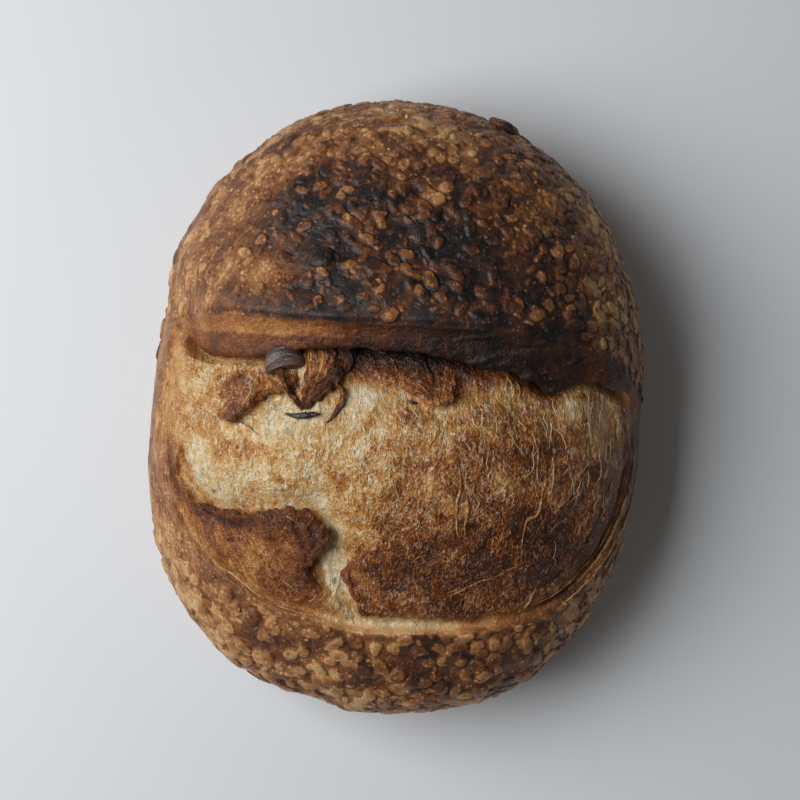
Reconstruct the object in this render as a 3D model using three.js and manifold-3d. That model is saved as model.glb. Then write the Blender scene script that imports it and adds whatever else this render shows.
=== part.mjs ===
// A sourdough loaf: one solid of bread, short and full-bellied, slashed once from side to side.
// The slash has sprung open into a wide bloom, and the crust behind it stands up as an ear.
// Millimetres. +X is the loaf's right, +Y its back, +Z up. The origin is under its middle, on the table.

import * as THREE from "three";
import { mergeVertices } from "three/addons/utils/BufferGeometryUtils.js";
import Module from "manifold-3d";

// ---------------------------------------------------------------- driving dimensions

const MEAN_RADIUS = 106.2; // of the outline, seen from above
// The outline swells by size x cos(lobes x (direction - heading)): [lobes, size, heading in degrees].
const OUTLINE_LOBES = [
  [1, 1.0, -57],
  [2, 11.65, 86.5],
  [3, 0.8, -22],
  [4, 1.76, 36.8],
];
// Local lumps and dips of the outline: [heading in degrees, half width in degrees, height].
const OUTLINE_LUMPS = [
  [119, 6, -1.1], [145, 7, 1.6], [157, 5, -0.8], [237, 7, 1.2], [254, 5, -1.4], [293, 9, 1.1], [318, 5, -0.8],
];
const BELLY_HEIGHT = 37; // where the loaf is widest
const CROWN_BACK = 103; // height of the dough's dome under the ear
const CROWN_FRONT = 87; // the same dome, had it been whole, over the front lip
const DOME_FULLNESS = 2.6; // 2 is an ellipse; more is a fuller shoulder
const FOOT_SHARE = 0.86; // how far out the flat base reaches

// The ear's ridge, left to right: [x, y].
const EAR_RIDGE = [
  [-93, 2], [-88, 22], [-79, 32.5], [-59, 34.3], [-33, 31.6], [-5, 30],
  [20, 29], [45, 26.7], [67, 21.5], [83, 12.5], [92, 3], [94, 0],
];
// How wide the torn band under the ridge shows from above: [x, width].
const EAR_BAND = [
  [-79, 0.5], [-72, 9], [-60, 16.5], [-45, 14], [-30, 10], [-5, 8.6],
  [18, 9.5], [35, 13], [50, 16], [59, 18], [70, 12], [83, 7], [92, 1],
];
const EAR_LIFT = 5.5; // how far the ridge stands above the dome
const EAR_ROOT = 15; // how far back from the ridge the lift dies away
const EAR_RAGGED = 0.9; // how far the free edge wavers
const EAR_THICKNESS = 3.6;
const EAR_UNDERCUT = 8; // how far the hollow under the ear runs back
const EAR_HOLLOW = 11; // how deep it is, under the ear's free edge

// The lip where the smooth crust ends and the torn bloom begins, round the front: [x, y].
const FRONT_LIP = [
  [-81, 32], [-86, 10], [-87.5, -6], [-85, -26], [-76.8, -45.5], [-67.5, -57.9], [-57, -65.1], [-49, -70.8],
  [-40, -74.4], [-30.5, -76.7], [-22, -79.9], [-14.6, -81.7], [2.3, -82.3], [31.7, -81.7], [53.9, -76.6],
  [69.2, -66], [81, -49.7], [88, -27.4], [91.4, -5],
];
const BLOOM_SINK = 8; // how far the bloom lies under the dome along the ear
const BLOOM_SWELL = 3.5; // how far it bulges in its middle

// Torn edges inside the bloom. The raised side is on the right as the points run: [x, y].
// lift and groove are heights; reach is how far each fades from the edge; overhang is the lip's own width.
const TEARS = [
  {
    name: "lower flap", lift: 1.6, groove: 6.5, reach: [15, 8], overhang: 2.6, thickness: 3,
    points: [
      [-80, -7], [-81.5, -14], [-79.5, -26], [-71.5, -36.5], [-59, -39], [-48, -38.6], [-36, -38.2],
      [-27.5, -40.5], [-24.9, -45], [-26.2, -50], [-30.5, -55.5], [-31.5, -60], [-26, -66], [-20.5, -71],
    ],
  },
  {
    name: "shoulder flap", lift: 3, groove: 3.4, reach: [16, 8], overhang: 3, thickness: 3.4,
    points: [[-32, 9], [-38, 9.6], [-44.5, 8], [-51, 5], [-57, -0.5], [-59.5, -6.5]],
  },
  {
    name: "front patch", lift: 1.4, groove: 5, reach: [12, 7], overhang: 1.8, thickness: 2.4,
    points: [
      [34, -77], [20, -76.5], [4, -76], [-10, -75], [-12.6, -69], [-16, -63.5], [-16.4, -58], [-8, -52], [-5, -44],
    ],
  },
  {
    name: "tongue under the ear", lift: 2.6, groove: 1.6, reach: [10, 7], overhang: 2, thickness: 3,
    points: [[22, 14], [21, 8], [19, 2.4], [15, 1.6], [11, 3.6], [4, 7.7], [-3, 9.8], [-8, 14]],
  },
];
const TEAR_FADE = 0.16; // share of a tear's length over which it dies away at each end
const LIP_RIDGE = 1.4; // the front lip's own height
const LIP_GROOVE = 2.2; // and the step down to the bloom inside it

// The scorched curl of dough under the ear, and the torn strands around it: radius and [x, y, z].
const CURL = { at: [-39, 17.5, 95], size: [7.6, 5, 3.6], turn: 10 };
const STRANDS = [
  { radius: 1.6, points: [[-41, 13, 91], [-37.5, 5, 90.5], [-33.5, -0.5, 88]] },
  { radius: 2, points: [[-18, 13, 91], [-25, 6, 91.5], [-33.5, -0.5, 88]] },
  { radius: 1.2, points: [[-20.5, 8.5, 91], [-18, 4.6, 91.5], [-20, -0.6, 90.5], [-23.6, -5.8, 89]] },
  { radius: 1.3, points: [[-38.4, -2.6, 88.5], [-32, -3.2, 90], [-25.4, -2.6, 89.5]] },
];
// Two loose flakes of crust that stand out past the outline.
const FLAKES = [
  { at: [40.5, 103, 47], size: [6.5, 2.2, 4], turn: -28 },
  { at: [-82.5, 51, 42], size: [3.2, 2.6, 3.6], turn: 62 },
];

// Broad soft blisters of the dome: [x, y, radius, height].
const SWELLINGS = [
  [-25, 50, 7, 1.5], [-5, 44, 8, 1.2], [10, 98, 9, 1], [66, 52, 9, 0.9], [-62, 62, 10, 0.9], [34, 62, 8, 0.8],
];

// Soft unevenness of the crust: wave lengths and heights.
const UNEVEN = [
  { length: 46, height: 1.1 },
  { length: 21, height: 0.65 },
];

// How finely the solid is faceted.
const SECTIONS = 74;
const DOME_ROWS = 12;
const BLOOM_ROWS = 23;
const FRONT_ROWS = 7;
const FOOT_ROWS = 5;
const CLEAN = 0.02; // facets smaller than this are merged away
const FINE = 48; // steps of the fine lines that rows are spaced along

// ---------------------------------------------------------------- small mathematics

const radians = THREE.MathUtils.degToRad;
const mix = THREE.MathUtils.lerp;
const clamp = THREE.MathUtils.clamp;
const smooth = (from, to, v) => THREE.MathUtils.smoothstep(v, from, to);

// A smooth curve through a table of [x, value], read at x.
function readTable(table, x) {
  const last = table.length - 1;
  if (x <= table[0][0]) return table[0][1];
  if (x >= table[last][0]) return table[last][1];
  let i = 0;
  while (x > table[i + 1][0]) i++;
  const slope = (a, b) => (table[b][1] - table[a][1]) / (table[b][0] - table[a][0]);
  const width = table[i + 1][0] - table[i][0];
  const in0 = slope(Math.max(i - 1, 0), i + 1) * width;
  const in1 = slope(i, Math.min(i + 2, last)) * width;
  const t = (x - table[i][0]) / width;
  const t2 = t * t;
  const t3 = t2 * t;
  return (
    (2 * t3 - 3 * t2 + 1) * table[i][1] + (t3 - 2 * t2 + t) * in0 +
    (3 * t2 - 2 * t3) * table[i + 1][1] + (t3 - t2) * in1
  );
}

// Waves in three directions, summed: a soft, repeatable unevenness from -1 to 1.
function waves(x, y, z, length) {
  const wave = (dx, dy, dz, phase) => Math.sin(((2 * Math.PI) / length) * (dx * x + dy * y + dz * z) + phase);
  const first = wave(1, 0.37, 0.2, 1.3) * wave(-0.29, 0.81, 0.3, 0.4);
  const second = wave(0.62, -0.74, 0.5, 2.1) * wave(0.55, 0, 0.9, 5.2);
  return 0.6 * first + 0.4 * second;
}

// Points spaced evenly along a fine line of [x, y, z], both ends included.
function spaced(line, steps) {
  const run = [0];
  for (let i = 1; i < line.length; i++)
    run.push(run[i - 1] + Math.hypot(...line[i].map((v, k) => v - line[i - 1][k])));
  const whole = run[run.length - 1];
  const points = [];
  let i = 0;
  for (let s = 0; s <= steps; s++) {
    const target = (whole * s) / steps;
    while (i < run.length - 2 && run[i + 1] < target) i++;
    const t = (target - run[i]) / Math.max(run[i + 1] - run[i], 1e-9);
    points.push(line[i].map((v, k) => mix(v, line[i + 1][k], clamp(t, 0, 1))));
  }
  return points;
}

// ---------------------------------------------------------------- the dough's form

function outlineRadius(angle) {
  let radius = MEAN_RADIUS;
  for (const [lobes, size, heading] of OUTLINE_LOBES)
    radius += size * Math.cos(lobes * (angle - radians(heading)));
  for (const [heading, width, height] of OUTLINE_LUMPS) {
    const away = THREE.MathUtils.euclideanModulo(angle - radians(heading) + Math.PI, 2 * Math.PI) - Math.PI;
    radius += height * Math.exp(-((away / radians(width)) ** 2));
  }
  return radius;
}

const onOutline = (angle) => [outlineRadius(angle) * Math.cos(angle), outlineRadius(angle) * Math.sin(angle)];

// 0 in the middle of the loaf, 1 on its outline.
const reach = (x, y) => Math.hypot(x, y) / outlineRadius(Math.atan2(y, x));

const ridgeY = (x) => readTable(EAR_RIDGE, x);
const lipY = (x) => readTable(FRONT_LIP.slice(4, -1), x);
const bandWidth = (x) => {
  const wide = readTable(EAR_BAND, x);
  return wide + Math.min(wide / 6, 1) * EAR_RAGGED * (Math.sin(x * 0.52 + 1) + 0.7 * Math.sin(x * 0.97));
};

// 1 along the ear, fading to 0 at its two ends.
const earShare = (x) => smooth(-80, -62, x) * (1 - smooth(76, 92, x));

// A torn edge as a fine line of points, with where each lies along it from 0 to 1.
function fineLine(points, steps) {
  const spline = new THREE.SplineCurve(points.map(([x, y]) => new THREE.Vector2(x, y)));
  return spline.getSpacedPoints(steps);
}

// The signed distance from a line, positive on its right, and how far along the line from 0 to 1.
function besideLine(line, x, y) {
  let best = { distance: Infinity, share: 0 };
  for (let i = 0; i + 1 < line.length; i++) {
    const a = line[i];
    const ex = line[i + 1].x - a.x;
    const ey = line[i + 1].y - a.y;
    const t = clamp(((x - a.x) * ex + (y - a.y) * ey) / (ex * ex + ey * ey), 0, 1);
    const dx = x - a.x - t * ex;
    const dy = y - a.y - t * ey;
    const gap = Math.hypot(dx, dy);
    if (gap < Math.abs(best.distance)) {
      const side = ex * dy - ey * dx <= 0 ? 1 : -1;
      best = { distance: side * gap, share: (i + t) / (line.length - 1) };
    }
  }
  return best;
}

const tearLines = TEARS.map((tear) => fineLine(tear.points, 24));
const lipLine = fineLine(FRONT_LIP, 60);

// A torn edge lifts one side a little and drops the other into a groove.
function tearRelief(tear, line, x, y) {
  const { distance, share } = besideLine(line, x, y);
  const ends = smooth(0, TEAR_FADE, share) * (1 - smooth(1 - TEAR_FADE, 1, share));
  const step = smooth(-3, 0.4, distance);
  const raised = tear.lift * Math.exp(-Math.max(distance, 0) / tear.reach[0]);
  const sunk = -tear.groove * Math.exp(-((Math.min(distance, 0) / tear.reach[1]) ** 2));
  return ends * mix(sunk, raised, step);
}

// Relief of the opened part: a sink along the ear, a swelling in the middle, tears and the front lip.
function bloomRelief(x, y) {
  const lip = -besideLine(lipLine, x, y).distance;
  const inside = smooth(0, 9, lip) * smooth(-2, 6, ridgeY(x) - y);
  const ahead = ridgeY(x) - bandWidth(x) - y;
  let height = -BLOOM_SINK * earShare(x) * Math.exp(-((Math.max(ahead, 0) / 17) ** 2));
  height += BLOOM_SWELL * Math.exp(-(((x - 6) / 52) ** 2) - ((y + 22) / 34) ** 2);
  TEARS.forEach((tear, i) => {
    height += tearRelief(tear, tearLines[i], x, y);
  });
  const groove = LIP_GROOVE * Math.exp(-(((lip - 3) / 2.6) ** 2));
  const ridge = LIP_RIDGE * Math.exp(-(((lip + 0.5) / 2) ** 2));
  return inside * height + (ridge - groove) * smooth(-2, 10, ridgeY(x) - y);
}

// The dome's height over a point of the plan, before the ear.
function domeHeight(x, y) {
  const crown = mix(CROWN_BACK, CROWN_FRONT, smooth(0, 120, ridgeY(x) - y));
  const s = Math.min(reach(x, y), 1);
  const rise = Math.sqrt(Math.max(1 - s ** DOME_FULLNESS, 0));
  const height = BELLY_HEIGHT + (crown - BELLY_HEIGHT) * rise;
  let uneven = 0;
  for (const wave of UNEVEN) uneven += wave.height * waves(x, y, height, wave.length);
  for (const [cx, cy, radius, high] of SWELLINGS)
    uneven += high * Math.exp(-(((x - cx) / radius) ** 2) - ((y - cy) / radius) ** 2);
  const behind = y - ridgeY(x);
  const lift = EAR_LIFT * earShare(x) * Math.exp(-((behind / (behind > 0 ? EAR_ROOT : 6)) ** 2));
  return height + (uneven + lift) * Math.sqrt(rise);
}

const topHeight = (x, y) => domeHeight(x, y) + bloomRelief(x, y) * (1 - smooth(0.93, 1, reach(x, y)));

// The underside: flat within the foot, curving up to the belly outside it.
function baseHeight(x, y) {
  const t = clamp((reach(x, y) - FOOT_SHARE) / (1 - FOOT_SHARE), 0, 1);
  return BELLY_HEIGHT * (1 - Math.sqrt(Math.max(1 - t * t, 0)));
}

// ---------------------------------------------------------------- sections from side to side

const fineSteps = Array.from({ length: FINE + 1 }, (_, i) => i / FINE);
const above = ([x, y], height) => [x, y, height(x, y)];

// The ear in section, from its ridge to the root of the hollow under it: how far forward, how far down.
function earProfile(band) {
  const down = mix(2, 7.5, clamp(band / 18, 0, 1));
  return [
    [band * 0.1, down * 0.1],
    [band * 0.32, down * 0.5],
    [band * 0.66, down * 0.78],
    [band * 0.95, down],
    [band + 0.9, down + EAR_THICKNESS * 0.45],
    [band + 0.1, down + EAR_THICKNESS],
    [band - EAR_UNDERCUT * 0.45, down + EAR_THICKNESS * 1.3],
    [band - EAR_UNDERCUT, down + EAR_HOLLOW * 0.72],
    [band - EAR_UNDERCUT * 0.85, down + EAR_HOLLOW],
    [band - EAR_UNDERCUT * 0.3, down + EAR_HOLLOW * 1.02],
  ];
}

// A section's points under the belly, from the front to the back, with some on the edge of the flat foot.
function baseRows(plan) {
  const out = (share) => reach(...plan(share));
  const inmost = fineSteps.reduce((a, b) => (out(b) < out(a) ? b : a));
  const footEdge = (side) => {
    let [inner, outer] = [inmost, side];
    if (out(inner) >= FOOT_SHARE) return inner;
    for (let i = 0; i < 24; i++) {
      const middle = (inner + outer) / 2;
      if (out(middle) < FOOT_SHARE) inner = middle;
      else outer = middle;
    }
    return inner;
  };
  const side = (from, to) =>
    spaced(fineSteps.map((v) => above(plan(mix(from, to, v ** 2)), baseHeight)), FOOT_ROWS).slice(1);
  const middle = above(plan((footEdge(0) + footEdge(1)) / 2), baseHeight);
  return [...side(1, footEdge(1)), middle, ...side(0, footEdge(0)).reverse()];
}

// One section runs from the back of the outline to the front. It is a closed ring of points:
// over the dome, down the ear, under it, over the bloom, down the front and back along the base.
function section(t) {
  const back = onOutline(Math.PI * (1 - t));
  const front = onOutline(Math.PI * (1 + t));
  const length = Math.hypot(front[0] - back[0], front[1] - back[1]);
  const plan = (share) => [mix(back[0], front[0], share), mix(back[1], front[1], share)];

  // The shares of the section where it meets a line y = f(x).
  const meet = (lineY) => {
    let share = 0.5;
    for (let i = 0; i < 6; i++) {
      const y = lineY(plan(share)[0]);
      share = clamp((back[1] - y) / (back[1] - front[1]), 0.02, 0.98);
    }
    return share;
  };
  const ridge = meet(ridgeY);
  const x = plan(ridge)[0];
  const ear = earShare(x);
  const band = bandWidth(x);
  const bloomStart = Math.min(ridge + mix(0.1, (band + 4) / length, ear), 0.96);
  const lip = clamp(meet(lipY), mix(bloomStart, 1, 0.5), 0.88);
  const step = Math.min(3 / length, 0.05);

  const top = (share) => above(plan(share), topHeight);
  const over = (from, to, ease) => fineSteps.map((v) => top(mix(from, to, ease(v))));
  const dome = spaced(over(0, ridge, (v) => v * v), DOME_ROWS);
  const bloom = spaced(over(bloomStart, lip - step, (v) => v), BLOOM_ROWS);
  const frontLip = [top(lip - 0.15 * step), top(lip + 0.7 * step)];
  const frontSide = spaced(over(lip + 1.6 * step, 1, (v) => 1 - (1 - v) ** 2), FRONT_ROWS);

  const ridgePoint = dome[dome.length - 1];
  const fold = earProfile(band).map(([forward, drop], i, all) => {
    const share = (i + 1) / all.length;
    const unfolded = top(mix(ridge, bloomStart, (i + 1) / (all.length + 1)));
    const [px, py] = plan(ridge + forward / length);
    const height = ridgePoint[2] - drop;
    const settled = Math.min(height, bloom[0][2] - 1);
    const folded = [px, py, mix(height, settled, smooth(0.6, 1, share))];
    return unfolded.map((v, k) => mix(v, folded[k], ear));
  });
  return [...dome, ...fold, ...bloom, ...frontLip, ...frontSide, ...baseRows(plan)];
}

function loafBody() {
  const rings = [];
  for (let i = 1; i < SECTIONS; i++) rings.push(section(i / SECTIONS));
  const around = rings[0].length;
  const positions = rings.flat(2);
  const leftPole = positions.length / 3;
  positions.push(-outlineRadius(Math.PI), 0, BELLY_HEIGHT);
  positions.push(outlineRadius(0), 0, BELLY_HEIGHT);
  const faces = [];
  const vertex = (ring, k) => ring * around + (k % around);
  for (let ring = 0; ring + 1 < rings.length; ring++)
    for (let k = 0; k < around; k++) {
      const a = vertex(ring, k);
      const b = vertex(ring, k + 1);
      const c = vertex(ring + 1, k + 1);
      const d = vertex(ring + 1, k);
      faces.push(a, b, c, a, c, d);
    }
  for (let k = 0; k < around; k++) {
    faces.push(leftPole, vertex(0, k + 1), vertex(0, k));
    faces.push(leftPole + 1, vertex(rings.length - 1, k), vertex(rings.length - 1, k + 1));
  }
  return geometryOf(positions, faces);
}

// ---------------------------------------------------------------- torn lips, curls and flakes

function geometryOf(positions, faces) {
  const geometry = new THREE.BufferGeometry();
  geometry.setAttribute("position", new THREE.Float32BufferAttribute(positions, 3));
  geometry.setIndex(faces);
  return geometry;
}

// A closed tube of given rings, each a list of points, with a point at both ends.
function closedTube(rings, startPoint, endPoint) {
  const around = rings[0].length;
  const positions = [...rings.flat(2), ...startPoint, ...endPoint];
  const start = rings.length * around;
  const faces = [];
  for (let r = 0; r < rings.length; r++)
    for (let k = 0; k < around; k++) {
      const a = r * around + k;
      const b = r * around + ((k + 1) % around);
      if (r + 1 < rings.length) faces.push(a, b, b + around, a, b + around, a + around);
      if (r === 0) faces.push(start, b, a);
      if (r === rings.length - 1) faces.push(start + 1, a, b);
    }
  return geometryOf(positions, faces);
}

// The overhanging lip of a tear: a strip along its edge, flush with the raised side and rooted in it.
function tearLip(tear) {
  const steps = 2 * tear.points.length + 2;
  const line = fineLine(tear.points, steps);
  // Across the strip, out over the sunk side: [share of the overhang, share of the thickness below the top].
  const profile = [[-2, 1.5], [0.6, 0.95], [1, 0.5], [0.85, 0.14], [0.4, 0.02], [-0.5, 0], [-2, 0.12]];
  const rings = [];
  for (let i = 1; i < steps; i++) {
    const ahead = line[i + 1];
    const behind = line[i - 1];
    const run = Math.hypot(ahead.x - behind.x, ahead.y - behind.y);
    const out = [-(ahead.y - behind.y) / run, (ahead.x - behind.x) / run];
    const size = Math.sqrt(Math.sin((Math.PI * i) / steps));
    const at = (forward) => [line[i].x + out[0] * forward, line[i].y + out[1] * forward];
    const level = topHeight(...at(-2.6));
    rings.push(
      profile.map(([across, below]) => {
        const [px, py] = at(across * tear.overhang * size);
        return [px, py, level + 0.15 - below * tear.thickness * size];
      }),
    );
  }
  const end = (i) => [line[i].x, line[i].y, topHeight(line[i].x, line[i].y) - tear.thickness];
  return closedTube(rings, end(0), end(steps));
}

// A round strand through points, thinning to both ends.
function strand({ radius, points }) {
  const steps = 12;
  const curve = new THREE.CatmullRomCurve3(points.map((p) => new THREE.Vector3(...p)));
  const frames = curve.computeFrenetFrames(steps, false);
  const sides = 7;
  const rings = [];
  for (let i = 1; i < steps; i++) {
    const centre = curve.getPointAt(i / steps);
    const size = radius * Math.sqrt(Math.sin((Math.PI * i) / steps));
    rings.push(
      Array.from({ length: sides }, (_, k) => {
        const angle = (2 * Math.PI * k) / sides;
        const point = centre
          .clone()
          .addScaledVector(frames.normals[i], size * Math.cos(angle))
          .addScaledVector(frames.binormals[i], size * Math.sin(angle));
        return point.toArray();
      }),
    );
  }
  return closedTube(rings, curve.getPointAt(0).toArray(), curve.getPointAt(1).toArray());
}

// A small lump or flake: a flattened ball, turned about the vertical.
function lump({ at, size, turn }) {
  const ball = new THREE.IcosahedronGeometry(1, 2);
  ball.scale(...size);
  ball.rotateZ(radians(turn));
  ball.translate(...at);
  return ball;
}

// ---------------------------------------------------------------- joined into one solid

const wasm = await Module();
wasm.setup();

function solidOf(geometry) {
  const bare = geometry.clone();
  bare.deleteAttribute("normal");
  bare.deleteAttribute("uv");
  const merged = mergeVertices(bare, 1e-4);
  const mesh = new wasm.Mesh({
    numProp: 3,
    vertProperties: merged.attributes.position.array,
    triVerts: new Uint32Array(merged.index.array),
  });
  return new wasm.Manifold(mesh);
}

let loaf = solidOf(loafBody());
const additions = [...TEARS.map(tearLip), ...STRANDS.map(strand), lump(CURL), ...FLAKES.map(lump)];
for (const addition of additions) loaf = loaf.add(solidOf(addition));

// Small pockets closed off between a torn lip and the dough are filled: only the outer skin is kept.
const skins = loaf.simplify(CLEAN).decompose();
const joined = skins.reduce((a, b) => (b.volume() > a.volume() ? b : a)).getMesh();
const loafGeometry = geometryOf(Array.from(joined.vertProperties), Array.from(joined.triVerts));
loafGeometry.computeVertexNormals();

const crust = new THREE.MeshStandardMaterial({ color: 0x8a5230, roughness: 0.72, metalness: 0 });
const loafMesh = new THREE.Mesh(loafGeometry, crust);
loafMesh.name = "loaf";

const bread = new THREE.Group();
bread.name = "sourdough_loaf";
bread.add(loafMesh);

export default bread;
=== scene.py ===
"""A sourdough loaf, slashed once from side to side: a dark blistered dome at the back, a raised
ear along the slash, a wide torn bloom in front of the ear and a smooth front crust below it.

Everything is worked out in millimetres and handed to Blender in metres. +X is the loaf's right,
+Y its back, +Z up, and the origin is on the table under its middle.
"""

import math

import bpy
import numpy as np
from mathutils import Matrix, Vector, kdtree


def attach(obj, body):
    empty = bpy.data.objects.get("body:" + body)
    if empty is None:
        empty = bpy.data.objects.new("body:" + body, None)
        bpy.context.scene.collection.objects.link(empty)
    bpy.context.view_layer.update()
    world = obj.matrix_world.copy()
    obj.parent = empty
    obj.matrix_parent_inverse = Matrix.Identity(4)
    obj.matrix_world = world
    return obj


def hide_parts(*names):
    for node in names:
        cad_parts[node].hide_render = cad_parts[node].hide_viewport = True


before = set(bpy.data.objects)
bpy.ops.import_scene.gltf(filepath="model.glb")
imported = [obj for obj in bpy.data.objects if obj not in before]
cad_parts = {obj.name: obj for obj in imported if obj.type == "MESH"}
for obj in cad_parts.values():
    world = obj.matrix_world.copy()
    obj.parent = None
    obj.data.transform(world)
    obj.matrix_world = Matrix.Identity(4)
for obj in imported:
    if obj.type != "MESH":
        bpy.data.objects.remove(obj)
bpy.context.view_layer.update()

MM = 0.001

# ---------------------------------------------------------------- camera, light and table

# Lengths are in metres here, the lens and its sensor in millimetres.
EYE_HEIGHT = 0.8
EYE_PLACE = (0.0023, 0.0027)
LENS = 89.6
SENSOR_WIDTH = 36
WINDOW = {
    "place": (-0.67, 0.10, 0.84), "aim": (0, 0, 0.05), "size": 0.84, "power": 12.2,
    "colour": (1.0, 0.995, 0.985),
}
ROOM_LIGHT = {"colour": (1.0, 0.95, 0.88), "strength": 0.085}
TABLE_REACH = 2.2
TABLE_COLOUR = (0.74, 0.78, 0.83, 1)
TABLE_ROUGHNESS = 0.6


def placed(name, data):
    """A new object in the scene."""
    item = bpy.data.objects.new(name, data)
    bpy.context.collection.objects.link(item)
    return item


def set_camera():
    camera = bpy.data.cameras.new("overhead")
    camera.lens = LENS
    camera.sensor_width = SENSOR_WIDTH
    seat = placed("overhead", camera)
    seat.location = (*EYE_PLACE, EYE_HEIGHT)
    bpy.context.scene.camera = seat


def set_light():
    lamp = bpy.data.lights.new("window", "AREA")
    lamp.shape = "SQUARE"
    lamp.size = WINDOW["size"]
    lamp.energy = WINDOW["power"]
    lamp.color = WINDOW["colour"]
    window = placed("window", lamp)
    window.location = WINDOW["place"]
    aim = Vector(WINDOW["aim"]) - window.location
    window.rotation_euler = aim.to_track_quat("-Z", "Y").to_euler()
    world = bpy.data.worlds.new("room")
    world.use_nodes = True
    sky = world.node_tree.nodes["Background"]
    sky.inputs["Color"].default_value = (*ROOM_LIGHT["colour"], 1)
    sky.inputs["Strength"].default_value = ROOM_LIGHT["strength"]
    bpy.context.scene.world = world
    bpy.context.scene.view_settings.view_transform = "Standard"


def lay_table():
    mesh = bpy.data.meshes.new("table")
    corners = [(TABLE_REACH * x, TABLE_REACH * y, 0) for x, y in ((-1, -1), (1, -1), (1, 1), (-1, 1))]
    mesh.from_pydata(corners, [], [(0, 1, 2, 3)])
    finish, _, shader = new_finish("pale_table")
    shader.inputs["Base Color"].default_value = TABLE_COLOUR
    shader.inputs["Roughness"].default_value = TABLE_ROUGHNESS
    mesh.materials.append(finish)
    placed("table", mesh)


# ---------------------------------------------------------------- the loaf's sizes

MEAN_RADIUS = 106.2  # of the outline, seen from above
# The outline swells by size x cos(lobes x (direction - heading)): (lobes, size, heading in degrees).
OUTLINE_LOBES = ((1, 1.0, -57), (2, 11.65, 86.5), (3, 0.8, -22), (4, 1.76, 36.8))
# Local lumps and dips of the outline: (heading, half width, height).
OUTLINE_LUMPS = (
    (119, 6, -1.1), (145, 7, 1.6), (157, 5, -0.8), (237, 7, 1.2), (254, 5, -1.4), (293, 9, 1.1),
    (318, 5, -0.8),
)
BELLY_HEIGHT = 37  # where the loaf is widest
CROWN_BACK = 103  # height of the dome under the ear
CROWN_FRONT = 87  # the same dome, had it been whole, over the front lip
DOME_FULLNESS = 2.6
FOOT_SHARE = 0.86  # how far out the flat base reaches

EAR_RIDGE = (  # (x, y), left to right
    (-93, 2), (-88, 22), (-79, 32.5), (-59, 34.3), (-33, 31.6), (-5, 30),
    (20, 29), (45, 26.7), (67, 21.5), (83, 12.5), (92, 3), (94, 0),
)
EAR_BAND = (  # how wide the torn face under the ridge shows from above: (x, width)
    (-79, 2), (-73, 12), (-66, 14.5), (-58, 15.5), (-45, 14), (-30, 10), (-5, 8.6),
    (18, 10.8), (30, 13), (41, 14.2), (50, 15), (59, 15.6), (70, 10.2), (83, 7.2), (92, 1),
)
EAR_LIFT = 5.5  # how far the ear stands up along its ridge
EAR_ROOT = 15  # how far behind the ridge it starts to rise
EAR_RAGGED = 0.9
EAR_BUMP = (54, 3.6, 3.2)  # a scorched bump of the edge: (x, half width, how far forward)
EAR_THICKNESS = 3.6
EAR_UNDERCUT = 8  # how far back the hollow under the ear goes
EAR_HOLLOW = 11  # how far down
# The ear's face in section: shares of the band's width and of the drop to its edge.
EAR_FACE_MARKS = ((0, 0), (0.1, 0.1), (0.32, 0.5), (0.66, 0.78), (0.95, 1))
EAR_EDGE_MARKS = ((0.9, 0.45), (0.1, 1))  # past the band, and below its edge as a share of the thickness
EAR_HOLLOW_MARKS = ((1, 0.72), (0.85, 1), (0.3, 1.02))  # shares of the undercut and of the hollow's depth

FRONT_LIP = (  # where the smooth crust ends and the bloom begins: (x, y)
    (-81, 32), (-86, 10), (-87.5, -6), (-85, -26), (-76.8, -45.5), (-67.5, -57.9), (-57, -65.1), (-49, -70.8),
    (-40, -74.4), (-30.5, -76.7), (-22, -79.9), (-14.6, -81.7), (2.3, -82.3), (31.7, -81.7), (53.9, -76.6),
    (69.2, -66), (81, -49.7), (88, -27.4), (91.4, -5),
)
BLOOM_SINK = 8  # how far the bloom dips in front of the ear
BLOOM_SWELL = 3.5  # how far its middle stands up
LIP_RIDGE = 1.4
LIP_GROOVE = 2.2

# Torn edges, the raised side on the right as the points run: how far it is raised and the other side sunk,
# and how far either reaches; the lip over the edge, and the part of the way along which it is free; how brown
# the edge is; how wide and how strongly its margin is toasted; how strongly the line under the lip is darkened
# with painted shade.
TEARS = {
    "lower_flap": {
        "lift": 1.6, "groove": 4.9, "reach": (15, 8), "overhang": 1.7, "thickness": 1.9, "free": (0.12, 1),
        "burn": 0.76, "margin": 5, "toast": 0.85, "under": 0.15,
        "points": (
            (-80, -7), (-81.5, -14), (-79.5, -26), (-71.5, -36.5), (-59, -39), (-48, -38.6), (-36, -38.2),
            (-27.5, -40.5), (-24.9, -45), (-26.2, -50), (-30.5, -55.5), (-31.5, -60), (-26, -66),
            (-20.5, -71),
        ),
    },
    "shoulder_flap": {
        "lift": 3, "groove": 3.4, "reach": (16, 8), "overhang": 2.2, "thickness": 2.2, "free": (0, 1),
        "burn": 0.7, "margin": 4, "toast": 0.85,
        "points": ((-32, 8.6), (-39.4, 7), (-45.8, 5.4), (-51.2, 2.3), (-55.8, -2.2), (-58.6, -7)),
    },
    "front_patch": {
        "lift": 1.4, "groove": 3.9, "reach": (12, 7), "overhang": 1.1, "thickness": 1.5,
        "free": (0.5, 0.95), "burn": 0.7, "margin": 5, "toast": 0.6, "under": 0.3,
        "points": (
            (34, -77), (20, -76.5), (4, -76), (-10, -75), (-12.6, -69), (-16, -63.5), (-16.4, -58),
            (-8, -52), (-5, -44),
        ),
    },
    "tongue": {
        "lift": 2.6, "groove": 1.6, "reach": (10, 7), "overhang": 1.4, "thickness": 1.8, "free": (0, 1),
        "burn": 0.56, "margin": 6, "toast": 0.5,
        "points": ((22, 14), (21, 8), (19, 2.4), (15, 1.6), (11, 3.6), (4, 7.7), (-3, 9.8), (-8, 14)),
    },
}
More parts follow.
